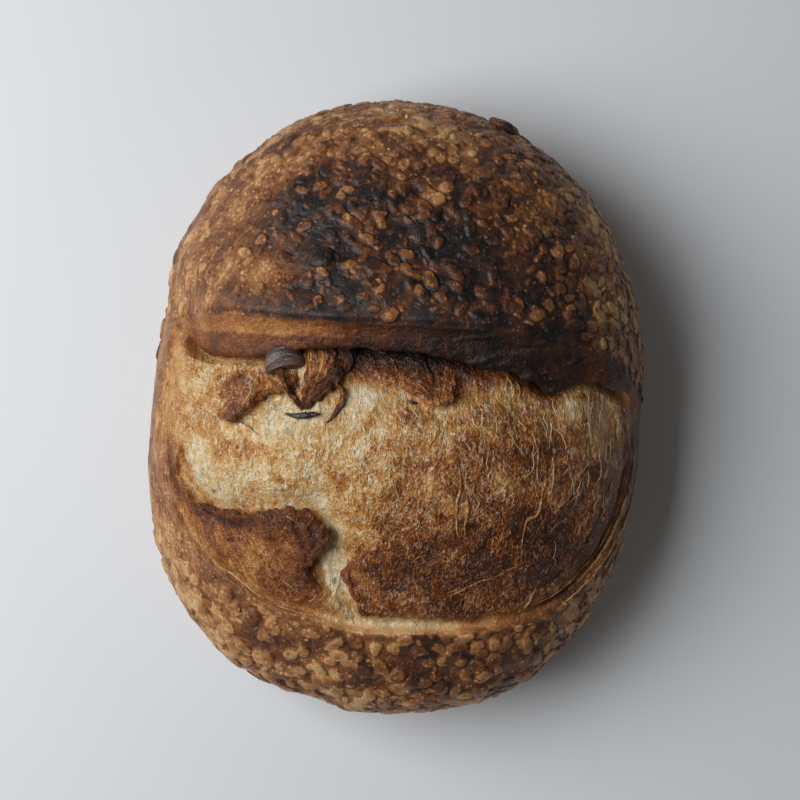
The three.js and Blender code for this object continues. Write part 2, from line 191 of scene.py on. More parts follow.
TEAR_FADE = 0.16  # the share of a tear's length in which it fades out
# A lip in section: (how far forward, how far down), as shares of its overhang and thickness.
LIP_PROFILE = (
    (-0.9, 0.9), (-0.4, 1.0), (0.35, 0.95), (0.9, 0.62), (1, 0.28), (0.75, 0.05), (0.1, -0.04),
    (-0.5, 0.02), (-1, 0.3),
)

# Broad soft blisters of the dome: (x, y, radius, height).
SWELLINGS = (
    (-25, 50, 7, 1.5), (-5, 44, 8, 1.2), (10, 98, 9, 1), (66, 52, 9, 0.9), (-62, 62, 10, 0.9),
    (34, 62, 8, 0.8),
)
UNEVEN = ((46, 1.1), (21, 0.65))  # soft waves over the whole skin: (length, height)

# The blisters that stand out: (x, y, radius, shade), the shade from 0, as dark as the skin, to 1, golden.
MAIN_BLISTERS = {
    "dome": (
        (-25, 53.3, 5.6, 0.0), (10.9, 71.5, 3.3, 0.55), (-19.1, 75.8, 2.1, 0.95), (-14.8, 73.7, 2.5, 0.6),
        (-18.6, 81.2, 3, 0.3), (-30.3, 44.8, 3.7, 0.6), (-4.7, 49, 4.8, 0.4), (5, 48.5, 3.2, 0.85),
        (13, 44.8, 4, 0.95), (9.3, 41.2, 2.3, 0.95), (22.1, 47.5, 3.9, 0.6), (4.4, 70.5, 2.3, 0.6),
        (19.4, 67.8, 2, 0.5), (16.7, 64, 2.2, 0.9), (-3.6, 64.6, 1.8, 0.9), (39.7, 73.7, 3.1, 0.85),
        (43.5, 68.3, 3.1, 0.85), (59.5, 55.5, 3.6, 0.95), (65.2, 52.3, 3.2, 0.85), (59.5, 42.1, 3.5, 0.95),
        (40.8, 40, 2.2, 0.3), (20.5, 82.2, 3.2, 0.5), (32.8, 84.4, 3.7, 0.4), (44, 81.2, 4.3, 0.3),
        (12, 103.4, 4.1, 0.9), (20, 101.6, 4.8, 0.95), (5.2, 100.8, 3, 1), (-1, 106.3, 3.6, 0.8),
        (-12.7, 92.9, 2.7, 0.8), (-19, 90.6, 2.2, 0.8), (-49, 63.6, 2, 0.7), (66, 60.5, 2.8, 0.7),
        (52, 62, 2.4, 0.7), (35.5, 60, 2.8, 0.5), (28, 55.5, 3, 0.35), (-12, 57, 2.6, 0.3),
        (-43, 91, 2.6, 0.9),
    ),
    "front": (
        (-21.9, -86.5, 4, 1), (-44.4, -78.6, 3.5, 0.8), (-30.3, -82.9, 3.4, 0.65), (-33, -89.7, 3.2, 0.7),
        (-6.3, -87.5, 3, 0.95), (0.8, -87.8, 3, 0.85), (9.4, -89.2, 3.2, 0.6), (16.9, -87.5, 2.7, 0.95),
        (30, -88.1, 3.2, 0.7), (36.9, -87.2, 3.4, 0.85), (50.4, -81.8, 3, 0.85), (-23, -92.9, 3, 0.95),
        (-13, -92.5, 2.4, 0.9), (2.3, -104.3, 4.6, 0.7), (12, -102, 3.4, 1), (-43, -96, 2.7, 0.8),
        (-66.5, -67, 2.4, 0.7), (-66, -75, 2.9, 0.9), (-58, -78.5, 2.4, 0.8), (-45.5, -85.5, 2.7, 0.8),
    ),
}

# Soft blisters that swell out of the skin: how many are tried, their radii, their height as a share of that.
SOFT_BLISTERS = {
    "dome": {"tries": 2500, "radius": (0.8, 3.4), "rarity": 2.2, "height": 0.3, "golden": 0.05, "seed": 51},
    "front": {
        "tries": 950, "radius": (1.0, 4.6), "rarity": 1.6, "height": 0.28, "golden": 0.35, "seed": 52,
    },
    "back_belly": {
        "tries": 600, "radius": (0.8, 3.2), "rarity": 1.8, "height": 0.26, "golden": 0.15, "seed": 56,
    },
    "front_belly": {
        "tries": 700, "radius": (0.9, 3.8), "rarity": 1.7, "height": 0.26, "golden": 0.3, "seed": 57,
    },
}
BLISTER_CROWDING = 0.12  # how far up another one's side a blister may start

# Smaller blisters strewn over the crust: the skin they sit on, a seed and their sizes, the height as a share
# of the radius.
BLISTER_SIZES = ("Spacing", "Per Square Metre", "Smallest", "Largest", "Height")
STREWN_BLISTERS = {
    "blisters_of_the_dome": ("dome_and_ear", 3, (1.3 * MM, 26000.0, 0.35 * MM, 1.2 * MM, 0.38)),
    "blisters_of_the_front": ("front_crust", 8, (1.5 * MM, 24000.0, 0.4 * MM, 1.4 * MM, 0.38)),
    "blisters_of_the_belly": ("underside", 14, (1.6 * MM, 20000.0, 0.4 * MM, 1.3 * MM, 0.38)),
}
BLISTER_SINK = 0.45  # how deep they sit in the skin, as a share of their height
FULL_TURN = 6.283  # radians

# Loose hairs on the bloom, fine and coarse: a seed and their sizes.
HAIR_SIZES = ("Per Square Metre", "Shortest", "Longest", "Thickness", "Sway")
HAIRS = {
    "stray_hairs": (5, (60000.0, 2.5 * MM, 10 * MM, 0.1 * MM, 0.9)),
    "coarse_hairs": (12, (17000.0, 4 * MM, 15 * MM, 0.17 * MM, 0.6)),
}
HAIR_CLEARANCE = 0.08  # of their middle lines above the skin

# The scorched knob on the ear's edge, and loose flakes on the loaf's back and left.
CURL = {"place": (-39, 18.3, 95), "size": (7.4, 4.6, 3.6), "turn": 10, "bow": (0.055, 0.03)}
FLAKES = {
    "flake_back": {"place": (41.8, 105.5, 49), "size": (6.5, 2.2, 4), "turn": -28, "bake": 0.72},
    "flake_left": {"place": (-82.5, 51, 42), "size": (3.2, 2.6, 3.6), "turn": 62, "bake": 0.3},
}
STRAND_SIDES = 12
# Strands: points (x, y, lift above the skin), widths and browning along them.
STRANDS = {
    "web_left": {
        "points": ((-40.5, 13.6, 4), (-37.6, 7, 2.8), (-34.6, 2.4, 1.6), (-31.6, -0.6, 0.4)),
        "widths": (3, 1.9, 2.2, 2), "bake": (0.82, 0.72, 0.6, 0.66),
    },
    "web_thread": {
        "points": ((-20.5, 9, 2), (-17.6, 4.8, 2), (-19.6, -0.4, 1), (-23.6, -5.6, 0.2)),
        "widths": (1.8, 2, 1.7, 0.8), "bake": (0.66, 0.58, 0.62, 0.5),
    },
    "burnt_sliver": {
        "points": ((-38.6, -2, 0.8), (-34.5, -2.9, 1.5), (-31, -2.7, 1.7), (-25.2, -2.2, 1)),
        "widths": (0.4, 2, 2.4, 0.4), "bake": (0.98, 0.96, 0.97, 1), "rough": 0.4,
    },
    "burnt_fleck": {
        "points": ((5, 2.6, 0.3), (6.6, 1.8, 0.6), (8.4, 1.4, 0.2)), "widths": (0.5, 1.2, 0.4),
        "bake": (0.9, 0.95, 0.9),
    },
}
SHEET_WEAVE = (26, 48)  # steps across a sheet and down it
# Ruffled sheets of dried dough hung from the ear: rows of (x, y, lift) from top to bottom, and browning.
SHEETS = {
    "web_sheet_left": {
        "rows": (
            ((-31.5, 22, -0.6), (-27, 22.3, 0), (-21.5, 22, -0.6)),
            ((-31.8, 18, 1.2), (-27.5, 17.5, 2), (-20.5, 17.5, 1.2)),
            ((-31.2, 13, 1.5), (-27.6, 12.5, 2), (-22.5, 12.5, 1.5)),
            ((-32.2, 7.5, 1.4), (-29.4, 7, 1.8), (-26, 7.5, 1.4)),
            ((-33, 3, 0.8), (-31, 2.5, 1), (-29, 3.2, 0.6)),
            ((-32.6, -0.4, 0.2), (-31.4, -0.8, 0.3), (-30.2, -0.2, 0.2)),
        ),
        "thickness": 0.9, "ruffle": 1.1, "bake": (0.88, 0.52, 0.42, 0.46, 0.56, 0.64),
    },
    "web_sheet_right": {
        "rows": (
            ((-19, 21.5, -0.6), (-16, 21.5, 0), (-12, 21.5, -0.6)),
            ((-21, 16, 1.6), (-18, 15.5, 2.6), (-14.4, 15.5, 0.8)),
            ((-23.8, 11, 2.2), (-20.8, 9.6, 3), (-17.2, 10, 0.8)),
            ((-27.4, 7.2, 2.2), (-25.2, 5.2, 2.8), (-22.6, 5.4, 0.8)),
            ((-31, 3.4, 1.4), (-29.8, 1.6, 1.8), (-27.8, 1.6, 0.6)),
            ((-32.4, 0, 0.3), (-31.6, -1, 0.4), (-30.8, -0.6, 0.3)),
        ),
        "thickness": 1.1, "ruffle": 1.5, "bake": (0.92, 0.78, 0.64, 0.6, 0.6, 0.7),
    },
}
WRINKLE_LIFT = 0.05
# Wrinkles that stand up from the torn face: points (x, y), width, browning.
WRINKLES = (
    (((22.5, -18.5), (24, -27), (22.6, -34), (22.6, -44), (24.2, -46.8)), 0.75, 0.34),
    (((25.8, -28), (26.6, -36), (25.4, -44), (27.6, -49)), 0.8, 0.5),
    (((49.6, -10), (51.4, -16), (51, -22)), 0.5, 0.2), (((57, -21), (57.2, -26), (56, -32)), 0.5, 0.25),
    (((53.5, -28.4), (52, -37.8), (47.8, -41), (46, -50)), 0.8, 0.4),
    (((44.8, -57), (37.2, -61), (31, -62.8), (23.2, -66.6), (19.2, -68)), 0.45, 0.42),
    (((52, -65.6), (49, -72), (45.4, -75)), 0.7, 0.32),
    (((27.4, 1.5), (28.4, -5.6), (30.9, -6.4), (31.6, 0.2)), 0.45, 0.1),
    (((79.4, -14), (78.8, -19.5)), 0.5, 0.08),
    (
        (
            (-73.5, -43.6), (-65, -56.5), (-60, -60.2), (-55, -64), (-47.4, -69.8), (-38.6, -73.4),
            (-29.2, -76), (-21.2, -79.2),
        ),
        0.42, 0.3,
    ),
    (((90, -12), (88.4, -27), (83, -43), (75, -57), (64, -68)), 1.0, 0.34),
    (((86, -22), (83, -38), (75, -53), (62, -66.5), (50, -73)), 0.8, 0.42),
    (((92.4, -20), (88.6, -36), (80, -54), (70, -66), (58, -76)), 0.9, 0.4),
)

# Fine dark seams in the skin: points (x, y), half width, how much browner, how deep.
CREASES = (
    (
        (
            (-77.6, -10), (-77.6, -15), (-76.2, -22.3), (-72.6, -29.4), (-67.2, -35.8), (-61.2, -40.8),
            (-51.2, -44),
        ),
        1.5, 0.24, 0.5,
    ),
    (((-36, -40), (-33.5, -46), (-32, -52)), 0.9, 0.2, 0.7),
    (((-30.5, -41.5), (-28.4, -47), (-28.6, -53)), 0.9, 0.22, 0.7),
    (((-27, -54.4), (-25.5, -63.3), (-17.3, -72.9)), 0.9, 0.2, 0.3),
    (
        (
            (84, 4.5), (85.7, -8), (85.4, -22.3), (82.5, -34.7), (77.9, -47.2), (70.8, -58.6),
            (61.1, -68.6), (48.7, -75.8),
        ),
        0.8, 0.24, 0.7,
    ),
    (((80, -22), (76.5, -36.5), (70, -50), (60, -61.5), (46.9, -69.7)), 0.7, 0.18, 0.5),
    (((88.6, -6), (89, -20), (86.4, -34), (80.4, -48), (72, -60)), 0.7, 0.22, 0.6),
    (((-12, -83.6), (8, -84.4), (32, -83.6), (54, -78.6), (66, -71)), 1.2, 0.12, 0.3),
    (((-84, 30), (-89, 8), (-90.4, -10), (-88, -28), (-80, -46)), 1.0, 0.1, 0.3),
    (((10, -34), (14, -38), (22, -40), (28, -43), (32, -41)), 0.9, 0.2, 0.4),
    (((-12.8, -66), (-16, -60.5), (-15, -56), (-8, -50)), 1.4, 0.16, 0.2),
)

# How finely the skin is woven: columns from side to side, rows along each section.
COLUMNS = 540
DOME_ROWS = 268
FOLD_ROWS = 56
BLOOM_ROWS = 250
FRONT_ROWS = 100
FOOT_ROWS = 60

# ---------------------------------------------------------------- small mathematics


def mix(a, b, t):
    return a + (b - a) * t


def smooth(low, high, v):
    t = np.clip((v - low) / (high - low), 0, 1)
    return t * t * (3 - 2 * t)


def bell(v):
    """1 where v is nil, falling away on both sides."""
    return np.exp(-(v**2))


def read_table(table, x):
    """A smooth curve through (x, value) pairs, read at x."""
    xs, ys = np.array(table, float).T
    slopes = np.empty_like(ys)
    slopes[1:-1] = (ys[2:] - ys[:-2]) / (xs[2:] - xs[:-2])
    slopes[0] = (ys[1] - ys[0]) / (xs[1] - xs[0])
    slopes[-1] = (ys[-1] - ys[-2]) / (xs[-1] - xs[-2])
    x = np.clip(x, xs[0], xs[-1])
    i = np.clip(np.searchsorted(xs, x) - 1, 0, len(xs) - 2)
    width = xs[i + 1] - xs[i]
    t = (x - xs[i]) / width
    return (
        (2 * t**3 - 3 * t**2 + 1) * ys[i] + (t**3 - 2 * t**2 + t) * slopes[i] * width
        + (3 * t**2 - 2 * t**3) * ys[i + 1] + (t**3 - t**2) * slopes[i + 1] * width
    )


def fine_line(points, steps):
    """Evenly spaced points of a smooth curve through the given ones, in any number of dimensions."""
    p = np.array(points, float)
    p = np.vstack([p[:1], p, p[-1:]])
    t = np.linspace(0, 1, 24, endpoint=False)[:, None]
    runs = []
    for a, b, c, d in zip(p[:-3], p[1:-2], p[2:-1], p[3:]):
        v0, v1 = (c - a) / 2, (d - b) / 2
        runs.append((2 * b - 2 * c + v0 + v1) * t**3 + (3 * c - 3 * b - 2 * v0 - v1) * t**2 + v0 * t + b)
    return respaced(np.vstack(runs + [p[-1:]]), steps)


def respaced(line, steps):
    """A line's points spaced evenly along it, both ends included."""
    run = np.concatenate([[0], np.cumsum(np.linalg.norm(np.diff(line, axis=0), axis=1))])
    want = np.linspace(0, run[-1], steps + 1)
    return np.stack([np.interp(want, run, line[:, k]) for k in range(line.shape[1])], axis=1)


def beside_line(line, x, y):
    """Signed distance from a plan line, positive on its right, and the share of the way along it."""
    a, e = line[:-1], np.diff(line, axis=0)
    px, py = np.ravel(x)[:, None], np.ravel(y)[:, None]
    t = np.clip(((px - a[:, 0]) * e[:, 0] + (py - a[:, 1]) * e[:, 1]) / (e**2).sum(1), 0, 1)
    dx, dy = px - a[:, 0] - t * e[:, 0], py - a[:, 1] - t * e[:, 1]
    gap = np.hypot(dx, dy)
    near = gap.argmin(1)
    rows = np.arange(len(near))
    side = np.where(e[near, 0] * dy[rows, near] - e[near, 1] * dx[rows, near] <= 0, 1, -1)
    share = (near + t[rows, near]) / len(a)
    return (side * gap[rows, near]).reshape(np.shape(x)), share.reshape(np.shape(x))


def waves(x, y, z, length):
    """The soft unevenness that the solid has too."""
    def wave(dx, dy, dz, phase):
        return np.sin(2 * np.pi / length * (dx * x + dy * y + dz * z) + phase)

    broad = 0.6 * wave(1, 0.37, 0.2, 1.3) * wave(-0.29, 0.81, 0.3, 0.4)
    return broad + 0.4 * wave(0.62, -0.74, 0.5, 2.1) * wave(0.55, 0, 0.9, 5.2)


_lattices = {}


def grain(points, size, stretch=(1, 1, 1), seed=0):
    """Smooth random unevenness, about -1 to 1, whose lumps are `size` millimetres across."""
    if seed not in _lattices:
        directions = np.random.default_rng(seed).normal(size=(32, 32, 32, 3))
        _lattices[seed] = directions / np.linalg.norm(directions, axis=-1, keepdims=True)
    lattice = _lattices[seed]
    p = points / (size * np.array(stretch, float)) + 0.37 * seed
    cell = np.floor(p).astype(int)
    f = p - cell
    fade = f**3 * (f * (f * 6 - 15) + 10)
    total = 0
    for corner in np.ndindex(2, 2, 2):
        at = (cell + corner) % 32
        weight = np.prod(np.where(corner, fade, 1 - fade), axis=-1)
        total = total + weight * (lattice[at[..., 0], at[..., 1], at[..., 2]] * (f - corner)).sum(-1)
    return 1.7 * total


def drifts(points, size, seeds, stretch=(1, 1, 1)):
    """Smooth random pushes, one for each seed, as vectors."""
    return np.stack([grain(points, size, stretch, seed) for seed in seeds], axis=-1)


def plan_points(x, y):
    return np.stack([x, y, np.zeros_like(x)], axis=-1)


# ---------------------------------------------------------------- the dough's form


def outline_radius(angle):
    radius = MEAN_RADIUS
    for lobes, size, heading in OUTLINE_LOBES:
        radius = radius + size * np.cos(lobes * (angle - math.radians(heading)))
    for heading, width, height in OUTLINE_LUMPS:
        away = np.mod(angle - math.radians(heading) + math.pi, 2 * math.pi) - math.pi
        radius = radius + height * bell(away / math.radians(width))
    return radius


def reach(x, y):
    """0 in the middle of the loaf, 1 on its outline."""
    return np.hypot(x, y) / outline_radius(np.arctan2(y, x))


def on_outline(angle):
    return outline_radius(angle) * np.array([math.cos(angle), math.sin(angle)])


def ridge_y(x):
    return read_table(EAR_RIDGE, x)


def lip_y(x):
    return read_table(FRONT_LIP[4:-1], x)


def band_width(x):
    """How wide the torn face under the ridge shows from above, with its ragged edge and one scorched bump."""
    wide = read_table(EAR_BAND, x)
    middle, half, size = EAR_BUMP
    bump = size * bell((x - middle) / half)
    ragged = EAR_RAGGED * mix(0.5, 1, smooth(-60, 10, x)) * np.minimum(wide / 6, 1)
    along = plan_points(np.asarray(x, float), 0 * np.asarray(x, float))
    return bump + wide + ragged * (1.3 * grain(along, 11, seed=27) + 0.9 * grain(along, 4.3, seed=28))


def ear_share(x):
    """1 along the ear, fading to 0 at its two ends."""
    return smooth(-80, -65, x) * (1 - smooth(76, 92, x))


def square_to(run):
    """Unit vectors in the plan, a quarter turn left of the given ones."""
    return np.column_stack([-run[:, 1], run[:, 0]]) / np.linalg.norm(run, axis=1, keepdims=True)


def ragged_line(points, steps, seed):
    """A plan line with the small random ins and outs of a torn edge."""
    line = fine_line(points, steps)
    spots = plan_points(*line.T)
    size = np.sin(np.pi * np.linspace(0, 1, steps + 1)) ** 0.5
    wander = size * (1.3 * grain(spots, 6, seed=seed) + 0.7 * grain(spots, 2.4, seed=seed + 1))
    return line + square_to(np.gradient(line, axis=0)) * wander[:, None]


tear_lines = {
    name: ragged_line(tear["points"], 96, seed) for seed, (name, tear) in zip(range(66, 74, 2), TEARS.items())
}
lip_line = fine_line(FRONT_LIP, 90)


def tear_relief(name, x, y):
    tear = TEARS[name]
    distance, share = beside_line(tear_lines[name], x, y)
    ends = smooth(0, TEAR_FADE, share) * (1 - smooth(1 - TEAR_FADE, 1, share))
    raised = tear["lift"] * np.exp(-np.maximum(distance, 0) / tear["reach"][0])
    sunk = -tear["groove"] * bell(np.minimum(distance, 0) / tear["reach"][1])
    return ends * mix(sunk, raised, smooth(-3, 0.4, distance))


def bloom_relief(x, y):
    lip = -beside_line(lip_line, x, y)[0]
    behind = ridge_y(x) - y
    ahead = behind - read_table(EAR_BAND, x)
    height = -BLOOM_SINK * ear_share(x) * bell(np.maximum(ahead, 0) / 17)
    height = height + BLOOM_SWELL * np.exp(-(((x - 6) / 52) ** 2) - ((y + 22) / 34) ** 2)
    for name in TEARS:
        height = height + tear_relief(name, x, y)
    groove = LIP_GROOVE * bell((lip - 3) / 2.6)
    ridge = LIP_RIDGE * bell((lip + 0.5) / 2)
    inside = smooth(0, 9, lip) * smooth(-2, 6, behind)
    return inside * height + (ridge - groove) * smooth(-2, 10, behind)


def dome_height(x, y):
    behind = y - ridge_y(x)
    crown = mix(CROWN_BACK, CROWN_FRONT, smooth(0, 120, -behind))
    rise = np.sqrt(np.maximum(1 - np.minimum(reach(x, y), 1) ** DOME_FULLNESS, 0))
    height = BELLY_HEIGHT + (crown - BELLY_HEIGHT) * rise
    uneven = sum(size * waves(x, y, height, length) for length, size in UNEVEN)
    for cx, cy, radius, high in SWELLINGS:
        uneven = uneven + high * np.exp(-(((x - cx) / radius) ** 2) - ((y - cy) / radius) ** 2)
    lift = EAR_LIFT * ear_share(x) * bell(behind / np.where(behind > 0, EAR_ROOT, 6))
    return height + (uneven + lift) * np.sqrt(rise)


def top_height(x, y):
    return dome_height(x, y) + bloom_relief(x, y) * (1 - smooth(0.93, 1, reach(x, y)))


def base_height(x, y):
    t = np.clip((reach(x, y) - FOOT_SHARE) / (1 - FOOT_SHARE), 0, 1)
    return BELLY_HEIGHT * (1 - np.sqrt(np.maximum(1 - t * t, 0)))


def ear_profile(band, steps):
    """The ear in section, from its ridge to the root of the hollow: how far forward, how far down."""
    down = mix(2, 7.5, min(max(band / 18, 0), 1))
    face = [(band * forward, down * drop) for forward, drop in EAR_FACE_MARKS]
    edge = [(band + forward, down + EAR_THICKNESS * drop) for forward, drop in EAR_EDGE_MARKS]
    throat = (band - EAR_UNDERCUT * 0.45, down + EAR_THICKNESS * 1.3)
    hollow = [(band - EAR_UNDERCUT * back, down + EAR_HOLLOW * drop) for back, drop in EAR_HOLLOW_MARKS]
    return fine_line([*face, *edge, throat, *hollow], steps)[1:]


def section(t):
    """One section of the loaf, from the back of its outline to the front, as a closed ring of points."""
    back, front = on_outline(math.pi * (1 - t)), on_outline(math.pi * (1 + t))
    length = np.linalg.norm(front - back)

    def plan(share):
        share = np.asarray(share, float)[..., None]
        return back + (front - back) * share

    def meet(line_y):
        share = 0.5
        for _ in range(6):
            y = line_y(plan(share)[0])
            share = float(np.clip((back[1] - y) / (back[1] - front[1]), 0.02, 0.98))
        return share

    def over(shares, height=top_height):
        p = plan(shares)
        return np.column_stack([p, height(p[:, 0], p[:, 1])])

    fine = np.linspace(0, 1, 301)
    ridge = meet(ridge_y)
    x = plan(ridge)[0]
    ear, band = float(ear_share(x)), float(band_width(x))
    bloom_start = min(ridge + mix(0.1, (band + 4) / length, ear), 0.96)
    lip = float(np.clip(meet(lip_y), mix(bloom_start, 1, 0.5), 0.88))

    dome = respaced(over(mix(0, ridge, fine**2)), DOME_ROWS)
    bloom = respaced(over(mix(bloom_start, lip, fine)), BLOOM_ROWS)
    front_side = respaced(over(mix(lip, 1, 1 - (1 - fine) ** 2)), FRONT_ROWS)[1:]

    profile = ear_profile(band, FOLD_ROWS)
    share = np.arange(1, FOLD_ROWS + 1) / FOLD_ROWS
    unfolded = over(mix(ridge, bloom_start, share * FOLD_ROWS / (FOLD_ROWS + 1)))
    height = dome[-1, 2] - profile[:, 1]
    height = mix(height, np.minimum(height, bloom[0, 2] - 1), smooth(0.6, 1, share))
    folded = np.column_stack([plan(ridge + profile[:, 0] / length), height])
    fold = mix(unfolded, folded, ear)

    out = reach(*plan(fine).T)
    inmost = fine[out.argmin()]

    def foot_edge(side):
        if out.min() >= FOOT_SHARE:
            return inmost
        shares = np.linspace(inmost, side, 400)
        return shares[(reach(*plan(shares).T) < FOOT_SHARE).nonzero()[0][-1]]

    def under(start, end):
        return respaced(over(mix(start, end, fine**2), base_height), FOOT_ROWS)[1:]

    front_foot, back_foot = foot_edge(1), foot_edge(0)
    middle = over(mix(front_foot, back_foot, np.linspace(0, 1, 10)[1:-1]), base_height)
    base = np.vstack([under(1, front_foot), middle, under(0, back_foot)[::-1]])
    return np.vstack([dome, fold, bloom, front_side, base])


def skin_grid():
    """The whole skin as a grid of points: columns from side to side, rows round each section."""
    even = np.linspace(0, 1, COLUMNS + 1)[1:-1]
    spread = np.arccos(1 - 2 * even) / math.pi
    return np.array([section(t) for t in 0.45 * even + 0.55 * spread])


def grid_normals(grid):
    across = np.gradient(grid, axis=0)
    along = (np.roll(grid, -1, axis=1) - np.roll(grid, 1, axis=1)) / 2
    normal = np.cross(along, across)
    return normal / np.maximum(np.linalg.norm(normal, axis=-1, keepdims=True), 1e-9)


# ---------------------------------------------------------------- how the oven browned it

# Browning from 0, raw cream, through 0.3 gold, 0.5 chestnut and 0.75 mahogany, to 1, charred.
# Patches that differ from their surroundings: (x, y, half width, half depth, turn, browning, strength).
DOME_BAKE = (
    (-2, 60, 42, 26, 0, 0.8, 0.8), (-28, 74, 21, 11, 25, 1.0, 1.0), (-26, 54, 16, 13, 0, 0.94, 0.8),
    (26, 52, 30, 19, -10, 0.88, 0.8), (-2, 64, 16, 12, 0, 0.82, 0.6), (30, 78, 24, 10, -15, 0.8, 0.7),
    (2, 96, 38, 9, 0, 0.54, 0.7), (-68, 58, 14, 27, -20, 0.44, 0.85), (52, 82, 20, 14, -40, 0.72, 0.6),
    (74, 48, 11, 26, 10, 0.5, 0.8), (-2, 109, 46, 8, 0, 0.48, 0.8), (-50, 80, 20, 11, 42, 0.42, 0.8),
    (0, 88, 26, 6, 0, 0.66, 0.5), (-66, 62, 8, 16, -20, 0.48, 0.6), (-26, 76, 14, 9, 20, 1.0, 0.7),
    (17, 60, 18, 9, 0, 0.96, 0.6), (-23, 103, 14, 5, 12, 0.42, 0.7), (20, 38, 20, 6, -6, 0.86, 0.5),
    (-55, 40, 16, 4, -4, 0.56, 0.6), (-62, 60, 5, 12, -45, 0.62, 0.5), (60, 34, 20, 9, -12, 0.8, 0.7),
    (-8, 36, 26, 5, 0, 0.74, 0.5), (26, 55, 15, 7, 0, 1.0, 0.8), (54, 38, 14, 12, 10, 1.0, 0.85),
    (54, 60, 9, 8, 0, 0.84, 0.7), (20, 50, 8, 7, 0, 1.06, 0.8), (65, 60, 8, 11, 10, 0.68, 0.7),
    (11, 82, 8, 6, 0, 0.88, 0.7), (-49, 47, 9, 8, 0, 0.38, 0.7), (-19, 42, 13, 7, 0, 1.04, 0.8),
    (-45, 37, 11, 4, 0, 0.66, 0.6), (38, 92, 8, 6, 0, 0.7, 0.7), (3, 74, 9, 5, 0, 0.9, 0.6),
    (20, 53, 9, 9, 0, 1.05, 0.6), (56, 54, 7, 8, 0, 0.94, 0.6), (51, 38, 10, 5, 0, 1.05, 0.6),
    (-47, 39, 9, 5, 0, 0.8, 0.5), (-3, 41, 13, 5, 0, 0.92, 0.5),
)
FRONT_BAKE = (
    (28, -97, 26, 10, 8, 0.78, 0.8), (-4, -95, 22, 9, 0, 0.78, 0.8), (-28, -94, 16, 9, -5, 0.5, 0.7),
    (-56, -84, 18, 10, -32, 0.5, 0.6), (-90, -10, 8, 60, 0, 0.36, 0.7), (66, -78, 20, 12, 38, 0.66, 0.6),
    (90, -20, 8, 50, 0, 0.58, 0.6), (-20, -84, 40, 3, 0, 0.66, 0.6), (0, -100, 60, 16, 0, 0.68, 0.6),
    (-5, -88, 9, 7, 0, 0.5, 0.7), (12, -96, 8, 5, 0, 0.82, 0.7), (-60, -78, 10, 5, -40, 0.42, 0.7),
    (-80, -50, 9, 30, 28, 0.4, 0.6), (-38, -79, 10, 5, -15, 0.4, 0.6), (-3, -90, 9, 7, 0, 0.5, 0.5),
)
BLOOM_BAKE = (
    (-56, 4, 18, 13, 15, 0.34, 0.9), (-74, 12, 12, 20, 0, 0.28, 0.8), (-48, -16, 22, 12, 0, 0.22, 0.8),
    (-42, -23, 22, 12, 0, 0.13, 0.9), (-37, -3, 21, 8, 5, 0.02, 0.95), (-1, 5, 16, 6, 0, 0.05, 0.95),
    (-18, -13, 16, 12, 0, 0.1, 0.8), (4, 14, 20, 7, -8, 0.84, 0.95), (14, 6, 9, 6, -20, 0.62, 0.9),
    (-21, -8, 8, 6, 0, 0.27, 0.7), (-65, -26, 5, 6, -30, 0.16, 0.8), (40, 5, 14, 5, -10, 0.14, 0.85),
    (76, -8, 17, 10, -25, 0.22, 0.85), (12, -24, 20, 20, 0, 0.38, 0.7), (4, -38, 16, 9, 0, 0.42, 0.7),
    (44, -16, 20, 15, 0, 0.6, 0.8), (27, -7, 7, 6, 0, 0.46, 0.7), (36, -36, 18, 8, 0, 0.46, 0.6),
    (-72, -20, 6, 12, -20, 0.03, 0.95), (-64, -31, 10, 6, -35, 0.03, 0.95),
    (-47, -35, 16, 3.6, 0, 0.2, 0.8), (-21, -58, 6.5, 20, 12, 0.02, 0.95),
    (0, -78, 25, 2.8, -2, 0.04, 0.95), (24, -60, 38, 15, 0, 0.7, 0.95), (28, -49, 16, 9, 0, 0.84, 0.8),
    (-47, -58, 24, 17, -28, 0.54, 0.9), (-42, -44, 22, 5, -4, 0.62, 0.7),
    (62, -42, 20, 24, -30, 0.66, 0.85), (50, -48, 13, 10, -20, 0.8, 0.8), (48, -69, 10, 4, 25, 0.7, 0.6),
    (84, -30, 8, 30, -10, 0.54, 0.7), (-83, -20, 4, 24, 0, 0.36, 0.6), (-45, 11, 13, 6, 15, 0.56, 0.9),
    (-53, 3, 6, 7, 40, 0.46, 0.8), (68, -24, 12, 10, 0, 0.5, 0.7), (-29, -67, 3, 8, 30, 0.6, 0.6),
    (20, -68, 22, 6, 0, 0.76, 0.5), (-24, 15, 8, 5, 0, 0.6, 0.8), (-33, -32.5, 11, 4.5, 0, 0.0, 0.95),
    (-33.7, 12.8, 3.4, 3.4, 0, 0.0, 0.9), (-31, -48, 5, 9, 0, 0.76, 0.8), (-57, -61, 12, 8, -35, 0.42, 0.7),
    (-9, -49, 4, 4, 0, 0.3, 0.6), (-22, -43, 5, 6, 0, 0.02, 0.9), (5, -54, 12, 7, 0, 0.9, 0.8),
    (52, -52, 18, 12, -25, 0.84, 0.8), (21, -53, 6, 5, 0, 0.5, 0.8), (46, -38, 9, 8, 0, 0.74, 0.7),
    (64, 4, 9, 6, 0, 0.06, 0.8), (66, -15, 8, 5, 0, 0.36, 0.7), (42, 5, 9, 4, 0, 0.3, 0.6),
    # The patch at (73, 3) darkens the crumb with painted shade just in front of the ear's right end.
    (17, 0, 8, 3, 0, 0.05, 0.8), (-22.5, -58, 5.5, 14, 8, 0.0, 0.85), (73, 3, 8, 7, 0, 0.24, 0.8),
    (33, 4, 7, 5, 0, 0.38, 0.6), (0, -78, 25, 2.6, -2, -0.02, 0.8),
)
